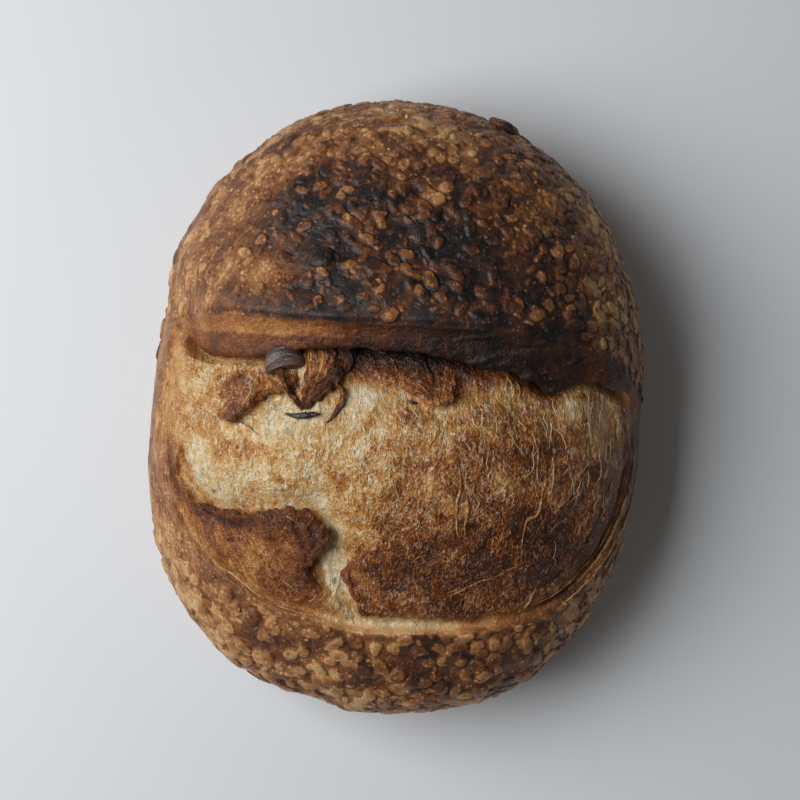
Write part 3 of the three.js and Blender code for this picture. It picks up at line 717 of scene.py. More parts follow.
# Patches of the same kind, but for how far the crumb is drawn out into fibres, and for how bubbly its web is.
BLOOM_PULL = (
    (-37, -3, 22, 9, 5, 0.9, 1), (-1, 6, 18, 8, 0, 0.9, 1), (42, 4, 17, 7, -8, 0.8, 1),
    (76, -8, 16, 12, -20, 0.8, 1), (-72, -20, 7, 12, -20, 1, 1), (-64, -31, 11, 7, -35, 1, 1),
    (-47, -35, 16, 4, 0, 0.8, 1), (-21, -58, 8, 20, 12, 1, 1), (0, -78, 27, 3.2, -2, 1, 1),
    (-80, 25, 8, 6, 0, 0.5, 1),
)
BLOOM_WEB = (
    (-84, 0, 10, 60, 0, 0.1, 1), (-62, -52, 30, 16, -38, 0.12, 1), (-42, -56, 22, 16, -20, 0.14, 1),
    (-60, -70, 40, 6, -30, 0.1, 1), (86, -40, 7, 40, -15, 0.4, 1), (40, -78, 50, 5, 6, 0.4, 1),
)
# Browning along the ear's ridge, its face above and below the brow, its edge and its hollow: (x, browning).
RIDGE_CHAR = ((-80, 0.5), (-60, 0.66), (-40, 0.8), (-20, 0.9), (60, 0.92), (80, 0.8), (92, 0.7))
EAR_FACE = (
    (-80, 0.42), (-65, 0.42), (-45, 0.42), (-32, 0.5), (-18, 0.68), (10, 0.84), (35, 0.98), (50, 0.92),
    (75, 0.84), (92, 0.64),
)
EAR_LEAF = (
    (-80, 0.58), (-65, 0.62), (-45, 0.66), (-32, 0.7), (-18, 0.82), (10, 0.88), (38, 0.98), (55, 0.9),
    (75, 0.8), (92, 0.62),
)
EAR_EDGE = ((-80, 0.62), (-62, 0.7), (-40, 0.76), (-22, 0.96), (55, 0.97), (66, 0.84), (80, 0.74), (92, 0.6))
# The hollow under the ear is darkened partly by scorching and partly by painted shade.
EAR_HOLLOW_SCORCH_AND_SHADE = ((-80, 0.3), (-55, 0.5), (-28, 0.9), (0, 1.0), (50, 1.0), (62, 0.7), (75, 0.4), (92, 0.3))


def baked(x, y, level, patches):
    """Browning over the plan: a level, changed by each patch in turn."""
    for cx, cy, wide, deep, turn, patch, strength in patches:
        c, s = math.cos(math.radians(turn)), math.sin(math.radians(turn))
        u, v = (c * (x - cx) + s * (y - cy)) / wide, (-s * (x - cx) + c * (y - cy)) / deep
        level = mix(level, patch, strength * np.exp(-((u * u + v * v) ** 1.4)))
    return level


crease_lines = [(fine_line(marks, 40), *values) for marks, *values in CREASES]


def creased(x, y):
    """How much browner the seams make the skin, and how far they pull it in."""
    browner, deep = np.zeros_like(x), np.zeros_like(x)
    for line, half, brown, groove in crease_lines:
        gap, share = beside_line(line, x, y)
        wander = gap + 0.5 * grain(plan_points(x, y), 4, seed=79)
        mark = bell(wander / half) * smooth(0, 0.12, share) * (1 - smooth(0.88, 1, share))
        mark = mark * (0.75 + 0.5 * grain(plan_points(x, y), 5, seed=80))
        browner, deep = np.maximum(browner, brown * mark), np.maximum(deep, groove * mark)
    return browner, deep


def bloom_browning(x, y):
    """Browning of the torn bloom over the plan, with the toasted margins of its tears."""
    level = baked(x, y, 0.3, BLOOM_BAKE)
    cloudy = grain(plan_points(x, y), 9, seed=11)
    for name, tear in TEARS.items():
        distance, share = beside_line(tear_lines[name], x, y)
        ends = smooth(0, 0.1, share) * (1 - smooth(0.88, 1, share))
        margin = np.maximum(tear["margin"] * (1 + 0.7 * cloudy), 1)
        toasted = smooth(-1.6, 0.6, distance) * bell(np.maximum(distance, 0) / margin)
        level = mix(level, tear["burn"], tear["toast"] * toasted * ends)
        # A narrow band just under each lip is darkened: painted shade in the groove below the overhang.
        under = smooth(-2.6, -0.4, distance) * (1 - smooth(-0.2, 0.6, distance))
        level = mix(level, tear["burn"] - 0.04, tear.get("under", 0.6) * under * ends)
    return level


def pulled_apart(x, y):
    """How far the crumb is drawn out into pale fibres, from 0, a toasted web, to 1."""
    return baked(x, y, 0.12, BLOOM_PULL)


def browning(grid, rows):
    """The looks of each point of the skin, as a value for each pattern that the finish reads."""
    x, y, z = np.moveaxis(grid, -1, 0)
    s = reach(x, y)
    behind = y - ridge_y(x)
    shape = x.shape
    bake, torn, pull, blisters, web, streaky = np.full(shape, 0.46), *(np.zeros(shape) for _ in range(5))
    ear = ear_share(x)

    dome = rows["dome"]
    xd, yd = x[:, dome], y[:, dome]
    level = baked(xd, yd, mix(0.7, 0.48, smooth(0.5, 0.97, s[:, dome])), DOME_BAKE)
    streaks = grain(turned(grid[:, dome], 38), 9, (2.6, 0.8, 1), seed=12)
    level = level + 0.16 * streaks * smooth(20, 60, -xd) + 0.1 * grain(grid[:, dome], 14, seed=13)
    along_ridge = bell(behind[:, dome] / 5.5) * smooth(-78, -40, xd)
    bake[:, dome] = mix(level, read_table(RIDGE_CHAR, xd), 0.85 * along_ridge)
    sparse = smooth(28, 55, -xd) * smooth(-96, -70, -yd)
    streaky[:, dome] = smooth(15, 60, -xd) * 0.9
    blisters[:, dome] = mix(mix(0.65, 1, smooth(20, 60, xd)), 0.2, sparse)
    blisters[:, dome] *= smooth(1, 5, behind[:, dome]) * smooth(0.0, 0.3, z[:, dome] / 40)

    fold = rows["fold"]
    share = np.linspace(0, 1, FOLD_ROWS)[None, :]
    xf = x[:, fold] + 3 * grain(grid[:, fold], 8, seed=14)
    face = read_table(EAR_FACE, xf)
    leaf = read_table(EAR_LEAF, xf)
    brow = smooth(0.2, 0.235, share + 0.012 * grain(grid[:, fold], 4, seed=15))
    level = mix(face, leaf, brow)
    level = mix(level, read_table(EAR_EDGE, xf), smooth(0.34, 0.44, share))
    level = mix(level, read_table(EAR_HOLLOW_SCORCH_AND_SHADE, xf), smooth(0.6, 0.78, share))
    ridge_level = bake[:, dome.stop - 1][:, None]
    level = mix(level, ridge_level, (1 - smooth(0.0, 0.04, share)) * 0.8)
    torn[:, fold] = smooth(0, 0.03, share) * mix(0.35, 0.6, ear[:, fold])

    bloom = rows["bloom"]
    xb, yb = x[:, bloom], y[:, bloom]
    level_b = bloom_browning(xb, yb)
    # The band just under the ear's overhang is darkened nearly to char: partly scorching, partly painted shade
    # under the ear.
    under_ear = bell(np.linspace(0, 1, BLOOM_ROWS + 1)[None, :] / 0.036) * ear[:, bloom]
    scorch_and_shade = smooth(-30, -18, xb) * (1 - 0.5 * smooth(14, 34, xb)) * (1 - smooth(52, 66, xb))
    level_b = mix(level_b, 0.97, under_ear * scorch_and_shade)
    outer = -beside_line(lip_line, xb, yb)[0]
    seam = 0.85 * (1 - smooth(0, 4 + 1.5 * grain(grid[:, bloom], 6, seed=78), outer))
    seam = seam * (1 - 0.9 * np.exp(-((xb / 28) ** 4)))
    level_b = mix(level_b, mix(0.44, 0.62, smooth(5, 45, xb)), seam)
    seams, deep = np.zeros(shape), np.zeros(shape)
    both = slice(bloom.start, rows["front"].stop)
    seams[:, both], deep[:, both] = creased(x[:, both], y[:, both])
    bake[:, bloom] = level_b + mix(0.03, 0.065, smooth(28, 50, xb)) + seams[:, bloom]
    torn[:, bloom] = smooth(-1, 7, outer)
    pull[:, bloom] = pulled_apart(xb, yb)
    web[:, bloom] = baked(xb, yb, 0.9, BLOOM_WEB)
    streaky[:, bloom] = 1 - web[:, bloom]
    meet = bloom.start
    bake[:, fold] = mix(level, bake[:, meet][:, None], smooth(0.9, 1, share))
    plain = 1 - ear[:, fold]
    bake[:, fold] = mix(bake[:, fold], mix(ridge_level, bake[:, meet][:, None], share), plain)

    front = rows["front"]
    xr, yr = x[:, front], y[:, front]
    level = baked(xr, yr, mix(0.58, 0.48, smooth(0.85, 1.0, s[:, front])), FRONT_BAKE)
    bake[:, front] = level + 0.1 * grain(grid[:, front], 12, seed=16) + seams[:, front]
    above_foot = smooth(40, 70, -yr) * smooth(0.0, 0.35, z[:, front] / 40)
    blisters[:, front] = above_foot * mix(0.35, 1, smooth(0.87, 0.93, s[:, front]))
    streaky[:, front] = 1 - 0.6 * smooth(50, 90, -yr)
    base = rows["base"]
    middle = (base.start + base.stop) // 2
    for side, beside in ((slice(base.start, middle), base.start - 1), (slice(middle, base.stop), 0)):
        up = smooth(6, BELLY_HEIGHT, z[:, side])
        for look, low in ((bake, 0.42), (streaky, 0.6), (blisters, 0.0)):
            look[:, side] = mix(low, look[:, beside][:, None], up)
    hairs = np.zeros(shape)
    strung = np.maximum(pull[:, bloom], 0.6 * smooth(5, 40, xb) * smooth(-62, -45, yb))
    hairs[:, bloom] = mix(0.16, 1, strung) * mix(0.2, 1, web[:, bloom]) * smooth(3, 9, outer)
    hairs[:, bloom] *= 1 - mix(0.97, 0.8, smooth(-12, 8, xb)) * smooth(0.45, 0.65, level_b)
    around = np.stack([90 * np.arctan2(x, -y), 95 * s, z], axis=-1)
    return {
        "bake": np.clip(bake, 0, 1), "torn": torn, "pull": pull, "web": web, "streaky": streaky,
        "blisters": blisters, "hairs": hairs, "around": around, "seam": deep,
    }


# ---------------------------------------------------------------- relief and blisters of the skin


def turned(points, degrees):
    """Points turned about the upright, so that a stretched pattern can run aslant."""
    c, s = math.cos(math.radians(degrees)), math.sin(math.radians(degrees))
    return points @ np.array([(c, -s, 0), (s, c, 0), (0, 0, 1)])


def ridged(points, size, stretch=(1, 1, 1), seed=0):
    """Sharp-crested folds, from 0 between them to 1 on their crests."""
    return np.clip(1 - 3.2 * np.abs(grain(points, size, stretch, seed)), 0, 1)


def fine_relief(grid, normals, rows, looks):
    """Small unevenness of the skin, in millimetres along its normal."""
    crust = 0.5 * grain(grid, 10, seed=1) + 0.14 * grain(grid, 4, seed=2) + 0.06 * grain(grid, 1.8, seed=3)
    web = (
        0.75 * grain(grid, 10, (1, 1.3, 1), seed=4)
        + 0.28 * grain(grid, 4.2, (1, 1.3, 1), seed=17)
        + 0.18 * grain(grid, 2, seed=18)
        + 0.4 * ridged(grid, 9, (0.8, 1.6, 0.8), seed=19) ** 2
    )
    curved = grid + 3 * drifts(grid, 12, (23, 24, 25))
    fibres = 0.5 * grain(curved, 2.4, (1, 4, 1), seed=5) + 0.35 * grain(curved, 1.3, (1, 5, 1), seed=6) - 0.3
    granular = 0.26 * grain(grid, 1.7, (1.6, 1, 1), seed=7) + 0.18 * grain(grid, 1.1, seed=8)
    relief = mix(crust, mix(web, fibres, looks["pull"]), looks["torn"])
    fold = rows["fold"]
    share = np.linspace(0, 1, FOLD_ROWS)[None, :]
    edge = bell((share - 0.48) / 0.16) * smooth(-62, -10, grid[:, fold, 0])
    ragged = 0.6 * grain(grid[:, fold], 7, seed=9) + 0.4 * grain(grid[:, fold], 1.9, seed=10)
    settle = smooth(0, 0.03, share) * (1 - smooth(0.93, 1, share))
    layers = 0.9 * ridged(grid[:, fold], 5, (4, 1, 1), seed=81) * smooth(5, 45, grid[:, fold, 0])
    torn_face = granular[:, fold] + edge * ragged + layers
    relief[:, fold] = mix(relief[:, fold], torn_face, settle * ear_share(grid[:, fold, 0]))
    base = rows["base"]
    relief[:, base] *= np.clip(grid[:, base, 2] / 14, 0, 1)
    relief = relief - looks.pop("seam")
    return grid + normals * relief[..., None]


def raised_blisters(grid, normals, rows, looks):
    """The skin with soft blisters swelling out of it, and the height and shade of each of their points."""
    turn = (rows["base"].stop - rows["base"].start) // 2
    skin, outward, share = (np.roll(values, turn, axis=1) for values in (grid, normals, looks["blisters"]))
    lift, swollen = blister_lift(skin, outward, rows, share, turn)
    swollen = {key: np.roll(values, -turn, axis=1) for key, values in swollen.items()}
    return grid + normals * np.roll(lift, -turn, axis=1)[..., None], swollen


def blister_lift(grid, normals, rows, share, turn):
    """How high soft blisters lift the skin, whose rows here start under the loaf and go over its back."""
    height, cap, tone = (np.zeros(grid.shape[:2]) for _ in range(3))
    end = grid.shape[1]
    dome, front = (slice(rows[part].start + turn, rows[part].stop + turn) for part in ("dome", "front"))
    over_back, over_front = slice(0, dome.stop), slice(front.start, end)
    stretches = {  # where each kind of blister grows, and the rows that it may reach into
        "dome": (dome, over_back), "front": (front, over_front),
        "back_belly": (slice(0, dome.start), over_back), "front_belly": (slice(front.stop, end), over_front),
    }
    warped = grid + 0.9 * drifts(grid, 4.2, (53, 54, 55))
    warped = warped + 0.25 * drifts(grid, 1.7, (73, 74, 75))
    steps = [np.maximum(np.linalg.norm(np.gradient(grid, axis=k), axis=-1), 0.12) for k in (0, 1)]
    for part, plan in SOFT_BLISTERS.items():
        chance = np.random.default_rng(plan["seed"])
        own, limits = stretches[part]
        where = np.zeros(grid.shape[:2])
        where[:, own] = (steps[0] * steps[1] * share)[:, own]
        spots = chance.choice(where.size, plan["tries"], p=where.ravel() / where.sum())
        golden = 0.4 * grain(grid, 13, seed=plan["seed"] + 5) + plan["golden"]
        golden = golden + 0.12 * smooth(35, 70, grid[..., 0])
        radii = np.sort(mix(*plan["radius"], chance.random(plan["tries"]) ** plan["rarity"]))[::-1]
        chosen = []
        for x, y, radius, shade in MAIN_BLISTERS.get(part, ()):
            far = np.hypot(grid[:, own, 0] - x, grid[:, own, 1] - y)
            i, j = np.unravel_index(far.argmin(), far.shape)
            chosen.append((i * end + j + own.start, radius, shade))
        for spot, radius, given in chosen + [(spot, radius, None) for spot, radius in zip(spots, radii)]:
            i, j = divmod(int(spot), end)
            oval, shade, lean = mix(1, 1.45, chance.random()), chance.random() ** 1.5, chance.normal(size=3)
            if given is None and (cap[i, j] > BLISTER_CROWDING or not normals[i, j].any()):
                continue
            shade = min(max(shade + golden[i, j], 0), 1) if given is None else given
            wide, deep = (int(1.5 * oval * radius / steps[k][i, j]) + 2 for k in (0, 1))
            window = (
                slice(max(i - wide, 0), i + wide + 1),
                slice(max(j - deep, limits.start), min(j + deep + 1, limits.stop)),
            )
            away = warped[window] - warped[i, j]
            along = np.cross(normals[i, j], lean)
            along /= np.linalg.norm(along)
            across = np.cross(normals[i, j], along)
            spans = (away @ along / oval, away @ across * oval, away @ normals[i, j])
            near = np.sqrt(sum(span**2 for span in spans)) / radius
            rise = 1 - smooth(0.2, 1.0, near)
            dome_shape = radius * plan["height"] * np.sqrt(np.maximum(1 - near**2, 0))
            tone[window] = np.where(rise > cap[window], shade, tone[window])
            cap[window] = np.maximum(cap[window], rise)
            height[window] = np.maximum(height[window], dome_shape * smooth(0, 0.25, rise))
    return height, {"cap": cap, "tone": tone}


# ---------------------------------------------------------------- meshes


def store(mesh, attributes):
    """Keeps per-point values on a mesh, single numbers or triples, for its finish to read."""
    for key, values in attributes.items():
        values = np.asarray(values, np.float32)
        triple = values.ndim == 2 and values.shape[1] == 3
        layer = mesh.attributes.new(key, "FLOAT_VECTOR" if triple else "FLOAT", "POINT")
        layer.data.foreach_set("vector" if triple else "value", values.ravel())


def piece_of(name, points, faces, finish, attributes, normals=None):
    """A smooth piece from points in millimetres and faces, with the values that its finish reads."""
    mesh = bpy.data.meshes.new(name)
    mesh.from_pydata((points * MM).tolist(), [], faces)
    mesh.shade_smooth()
    store(mesh, attributes)
    if normals is not None:
        mesh.normals_split_custom_set_from_vertices(normals.tolist())
    mesh.materials.append(finish)
    return placed(name, mesh)


def closed_piece(name, points, faces, finish, attributes):
    """A smooth closed piece whose faces are turned outwards."""
    volume = sum(
        np.dot(points[face[0]], np.cross(points[face[k]], points[face[k + 1]]))
        for face in faces for k in range(1, len(face) - 1)
    )
    faces = [face[::-1] if volume < 0 else face for face in faces]
    return piece_of(name, points, faces, finish, attributes)


def grid_faces(columns, rows):
    """Quads over a grid whose points are numbered column by column."""
    a = (np.arange(columns - 1)[:, None] * rows + np.arange(rows - 1)[None, :]).ravel()
    return np.column_stack([a, a + 1, a + 1 + rows, a + rows])


def skin_piece(name, grid, normals, looks, span, side, finish):
    """A slice of the skin's rows, on one side or on both, gathered to a point at each outer end."""
    index = np.arange(span[0], span[1] + 1) % grid.shape[1]
    middle = grid.shape[0] // 2
    cut = {"left": slice(0, middle + 1), "right": slice(middle, None), "both": slice(None)}[side]
    grid, normals = grid[cut], normals[cut]
    columns, rows = grid.shape[0], len(index)
    ends = np.array([(-outline_radius(math.pi), 0, BELLY_HEIGHT), (outline_radius(0.0), 0, BELLY_HEIGHT)])
    points = np.vstack([grid[:, index].reshape(-1, 3), ends])
    vectors = np.vstack([normals[:, index].reshape(-1, 3), [(-1, 0, 0), (1, 0, 0)]])
    left, right = columns * rows, columns * rows + 1
    k = np.arange(rows - 1)
    last = (columns - 1) * rows
    faces = grid_faces(columns, rows).tolist()
    if side != "right":
        faces += [[left, b, a] for a, b in zip(k, k + 1)]
    if side != "left":
        faces += [[right, a, b] for a, b in zip(last + k, last + k + 1)]
    attributes = {}
    for key, values in looks.items():
        values = values[cut]
        flat = values[:, index].reshape(columns * rows, -1)
        attributes[key] = np.vstack([flat, values[0].mean(axis=0), values[-1].mean(axis=0)])
    return piece_of(name, points, faces, finish, attributes, vectors)


# ---------------------------------------------------------------- finishes


def put(tree, kind, ins=None, **settings):
    """A node with its settings and its inputs, each input a plain value or another node's output."""
    node = tree.nodes.new(kind)
    for key, value in settings.items():
        setattr(node, key, value)
    for key, value in (ins or {}).items():
        if isinstance(value, bpy.types.NodeSocket):
            tree.links.new(value, node.inputs[key])
        else:
            node.inputs[key].default_value = value
    return node


def made(tree, kind, ins=None, **settings):
    """The first output of a new node."""
    return put(tree, kind, ins, **settings).outputs[0]


def calc(tree, operation, *values):
    return made(tree, "ShaderNodeMath", dict(enumerate(values)), operation=operation)


def times(tree, value, *factors):
    """A value multiplied by each factor in turn."""
    for factor in factors:
        value = calc(tree, "MULTIPLY", value, factor)
    return value


def vector(tree, operation, a, b):
    return made(tree, "ShaderNodeVectorMath", {0: a, 1: b}, operation=operation)


def ramp_between(tree, value, low, high, to_low=0.0, to_high=1.0):
    """A smooth step from one level to another, between two values of the pattern."""
    ins = {"Value": value, "From Min": low, "From Max": high, "To Min": to_low, "To Max": to_high}
    return made(tree, "ShaderNodeMapRange", ins, interpolation_type="SMOOTHSTEP")


def noise(tree, where, scale, detail=2.0, roughness=0.5, output="Fac"):
    ins = {"Vector": where, "Scale": scale, "Detail": detail, "Roughness": roughness}
    return put(tree, "ShaderNodeTexNoise", ins).outputs[output]


def colour_ramp(tree, value, stops):
    node = put(tree, "ShaderNodeValToRGB", {"Fac": value})
    elements = node.color_ramp.elements
    while len(elements) < len(stops):
        elements.new(0.5)
    for element, (at, colour) in zip(elements, stops):
        element.position = at
        element.color = (*colour, 1)
    return node.outputs["Color"]


def blend_colour(tree, share, a, b):
    return put(tree, "ShaderNodeMix", {0: share, 6: a, 7: b}, data_type="RGBA").outputs[2]


def blend_value(tree, share, a, b):
    return made(tree, "ShaderNodeMix", {0: share, 2: a, 3: b}, data_type="FLOAT")


def attribute(tree, name):
    return put(tree, "ShaderNodeAttribute", attribute_name=name).outputs["Fac"]


# Colours by browning, each with the share at which it is reached.
CRUST_BROWNS = (
    (0.0, (0.68, 0.6, 0.45)),
    (0.12, (0.62, 0.465, 0.255)),
    (0.25, (0.53, 0.305, 0.125)),
    (0.38, (0.375, 0.177, 0.06)),
    (0.5, (0.245, 0.095, 0.029)),
    (0.62, (0.148, 0.052, 0.0172)),
    (0.74, (0.077, 0.0282, 0.013)),
    (0.86, (0.036, 0.0168, 0.0118)),
    (1.0, (0.0105, 0.0085, 0.0082)),
)
CRUMB_BROWNS = (
    (0.0, (0.68, 0.58, 0.39)),
    (0.12, (0.62, 0.43, 0.19)),
    (0.25, (0.53, 0.265, 0.072)),
    (0.38, (0.39, 0.154, 0.035)),
    (0.5, (0.255, 0.079, 0.0145)),
    (0.62, (0.155, 0.04, 0.0075)),
    (0.74, (0.082, 0.0212, 0.0052)),
    (0.86, (0.039, 0.0132, 0.0062)),
    (1.0, (0.0105, 0.0085, 0.0078)),
)
GLUTEN_BROWNS = (
    (0.0, (0.74, 0.67, 0.52)),
    (0.3, (0.6, 0.42, 0.22)),
    (0.6, (0.3, 0.15, 0.065)),
    (1.0, (0.04, 0.022, 0.015)),
)
# Scorched dough is greyer and paler than the crust's browns: partly its own colour, partly a painted sheen.
SCORCHED_AND_SHEEN_BROWNS = (
    (0.0, (0.34, 0.22, 0.15)),
    (0.45, (0.19, 0.108, 0.078)),
    (0.65, (0.115, 0.07, 0.058)),
    (0.8, (0.055, 0.036, 0.034)),
    (1.0, (0.0105, 0.0085, 0.0078)),
)
# A pale colour painted on the crumb's glints, as highlights.
PAINTED_GLINT = (0.78, 0.71, 0.6, 1)
# A grey-brown painted shade for the gaps between drawn-out fibres.
PAINTED_GAP_SHADE = (0.2, 0.175, 0.125, 1)


def place_in_mm(tree):
    where = put(tree, "ShaderNodeTexCoord").outputs["Object"]
    return vector(tree, "MULTIPLY", where, (1 / MM,) * 3)


def pushed(tree, where, scale, detail, amount):
    """A random push that drifts from place to place, up to half of `amount` each way."""
    colour = noise(tree, where, scale, detail, output="Color")
    return vector(tree, "MULTIPLY", vector(tree, "SUBTRACT", colour, (0.5, 0.5, 0.5)), amount)


def bent(tree, where, size, amount):
    """The place, pushed about by slow noise, so that a pattern doesn't run straight."""
    return vector(tree, "ADD", where, pushed(tree, where, 1 / size, 2, (amount,) * 3))


def tiny_blisters(tree, where, size, share, edge):
    """Round blisters as a pattern: their mask, their own chance value and their height."""
    cells = put(tree, "ShaderNodeTexVoronoi", {"Vector": where, "Scale": 1 / size, "Randomness": 1.0}).outputs
    chances = put(tree, "ShaderNodeSeparateColor", {0: cells["Color"]}).outputs
    kept = calc(tree, "LESS_THAN", chances[0], share)
    mask = ramp_between(tree, cells["Distance"], edge, edge - 0.1)
    fall = calc(tree, "POWER", calc(tree, "DIVIDE", cells["Distance"], edge), 2.0)
    dome = calc(tree, "MAXIMUM", calc(tree, "SUBTRACT", 1.0, fall), 0.0)
    return times(tree, mask, kept), chances[1], times(tree, dome, kept)


def added(tree, base, *terms):
    """A value plus each (pattern, weight, middle) pair's departure from its middle."""
    for pattern, weight, middle in terms:
        base = calc(tree, "MULTIPLY_ADD", calc(tree, "SUBTRACT", pattern, middle), weight, base)
    return base


def hairlines(tree, where, scale, width, detail=2.0):
    """Thin wandering lines: 1 on each line, 0 between them."""
    off = calc(tree, "ABSOLUTE", calc(tree, "SUBTRACT", noise(tree, where, scale, detail), 0.5))
    return ramp_between(tree, off, width, width * 0.2)


def new_finish(name):
    finish = bpy.data.materials.new(name)
    finish.use_nodes = True
    return finish, finish.node_tree, finish.node_tree.nodes["Principled BSDF"]


def finish_surface(tree, shader, colour, roughness, height):
    tree.links.new(colour, shader.inputs["Base Color"])
    tree.links.new(roughness, shader.inputs["Roughness"])
    bump = put(tree, "ShaderNodeBump", {"Height": height, "Strength": 1.0, "Distance": MM})
    tree.links.new(bump.outputs["Normal"], shader.inputs["Normal"])


def streaks_around(tree):
    """Fine streaks that run round the loaf, the way its skin was drawn over the dough."""
    around = put(tree, "ShaderNodeAttribute", attribute_name="around").outputs["Vector"]
    drawn = vector(tree, "MULTIPLY", bent(tree, around, 9, 2.5), (0.16, 1, 0.4))
    broad, fine = noise(tree, drawn, 0.5, 4, 0.6), noise(tree, drawn, 1.9, 3, 0.6)
    return added(tree, 0.0, (broad, 0.7, 0.5), (fine, 1.0, 0.5))


def crust_pattern(tree, bake, place, streaks):
    """Crust: cloudy browning, freckles, and blisters, most of them lighter than the skin between them."""
    wavy = bent(tree, place, 7, 3.0)
    calm = calc(tree, "MULTIPLY_ADD", attribute(tree, "streaky"), -0.65, 1.0)
    cloud = noise(tree, place, 0.07, 3, 0.55)
    mottle = noise(tree, wavy, 0.24, 5, 0.55)
    blotch = ramp_between(tree, noise(tree, wavy, 0.13, 3, 0.5), 0.44, 0.6)
    freckle = noise(tree, wavy, 0.95, 2, 0.6)
    small, small_chance, small_height = tiny_blisters(tree, bent(tree, place, 2, 0.9), 1.5, 0.45, 0.44)
    brown = added(tree, bake, (cloud, 0.5, 0.5), (freckle, 0.34, 0.5), (streaks, 0.7, 0.0))
    patchy = added(tree, 0.0, (mottle, 0.42, 0.5), (blotch, 0.2, 0.4))
    brown = calc(tree, "MULTIPLY_ADD", patchy, calm, brown)
    fuzzy = added(tree, attribute(tree, "cap"), (freckle, 0.2, 0.5))
    swollen, crown = ramp_between(tree, fuzzy, 0.0, 0.55), ramp_between(tree, fuzzy, 0.5, 1.0)
    golden = calc(tree, "MULTIPLY_ADD", attribute(tree, "tone"), -0.4, 0.04)
    paler = times(tree, golden, calc(tree, "MULTIPLY_ADD", bake, 1.1, 0.1))
    brown = calc(tree, "MULTIPLY_ADD", swollen, paler, brown)
    brown = calc(tree, "MULTIPLY_ADD", crown, 0.05, brown)
    brown = calc(tree, "SUBTRACT", brown, times(tree, small, times(tree, small_chance, 0.24)))
    gloss = added(tree, 0.5, (mottle, 0.5, 0.5), (crown, -0.08, 0.0))
    height = added(
        tree, 0.0, (small_height, 0.16, 0.0), (mottle, 0.22, 0.5), (freckle, 0.16, 0.5), (streaks, 0.4, 0.0)
    )
    return calc(tree, "MAXIMUM", brown, 0.2), gloss, height


def drawn_out(tree, where, share):
    """The place squeezed from back to front, so that a pattern on it is drawn out that way."""
    return vector(tree, "MULTIPLY", where, (1, share, 0.8))


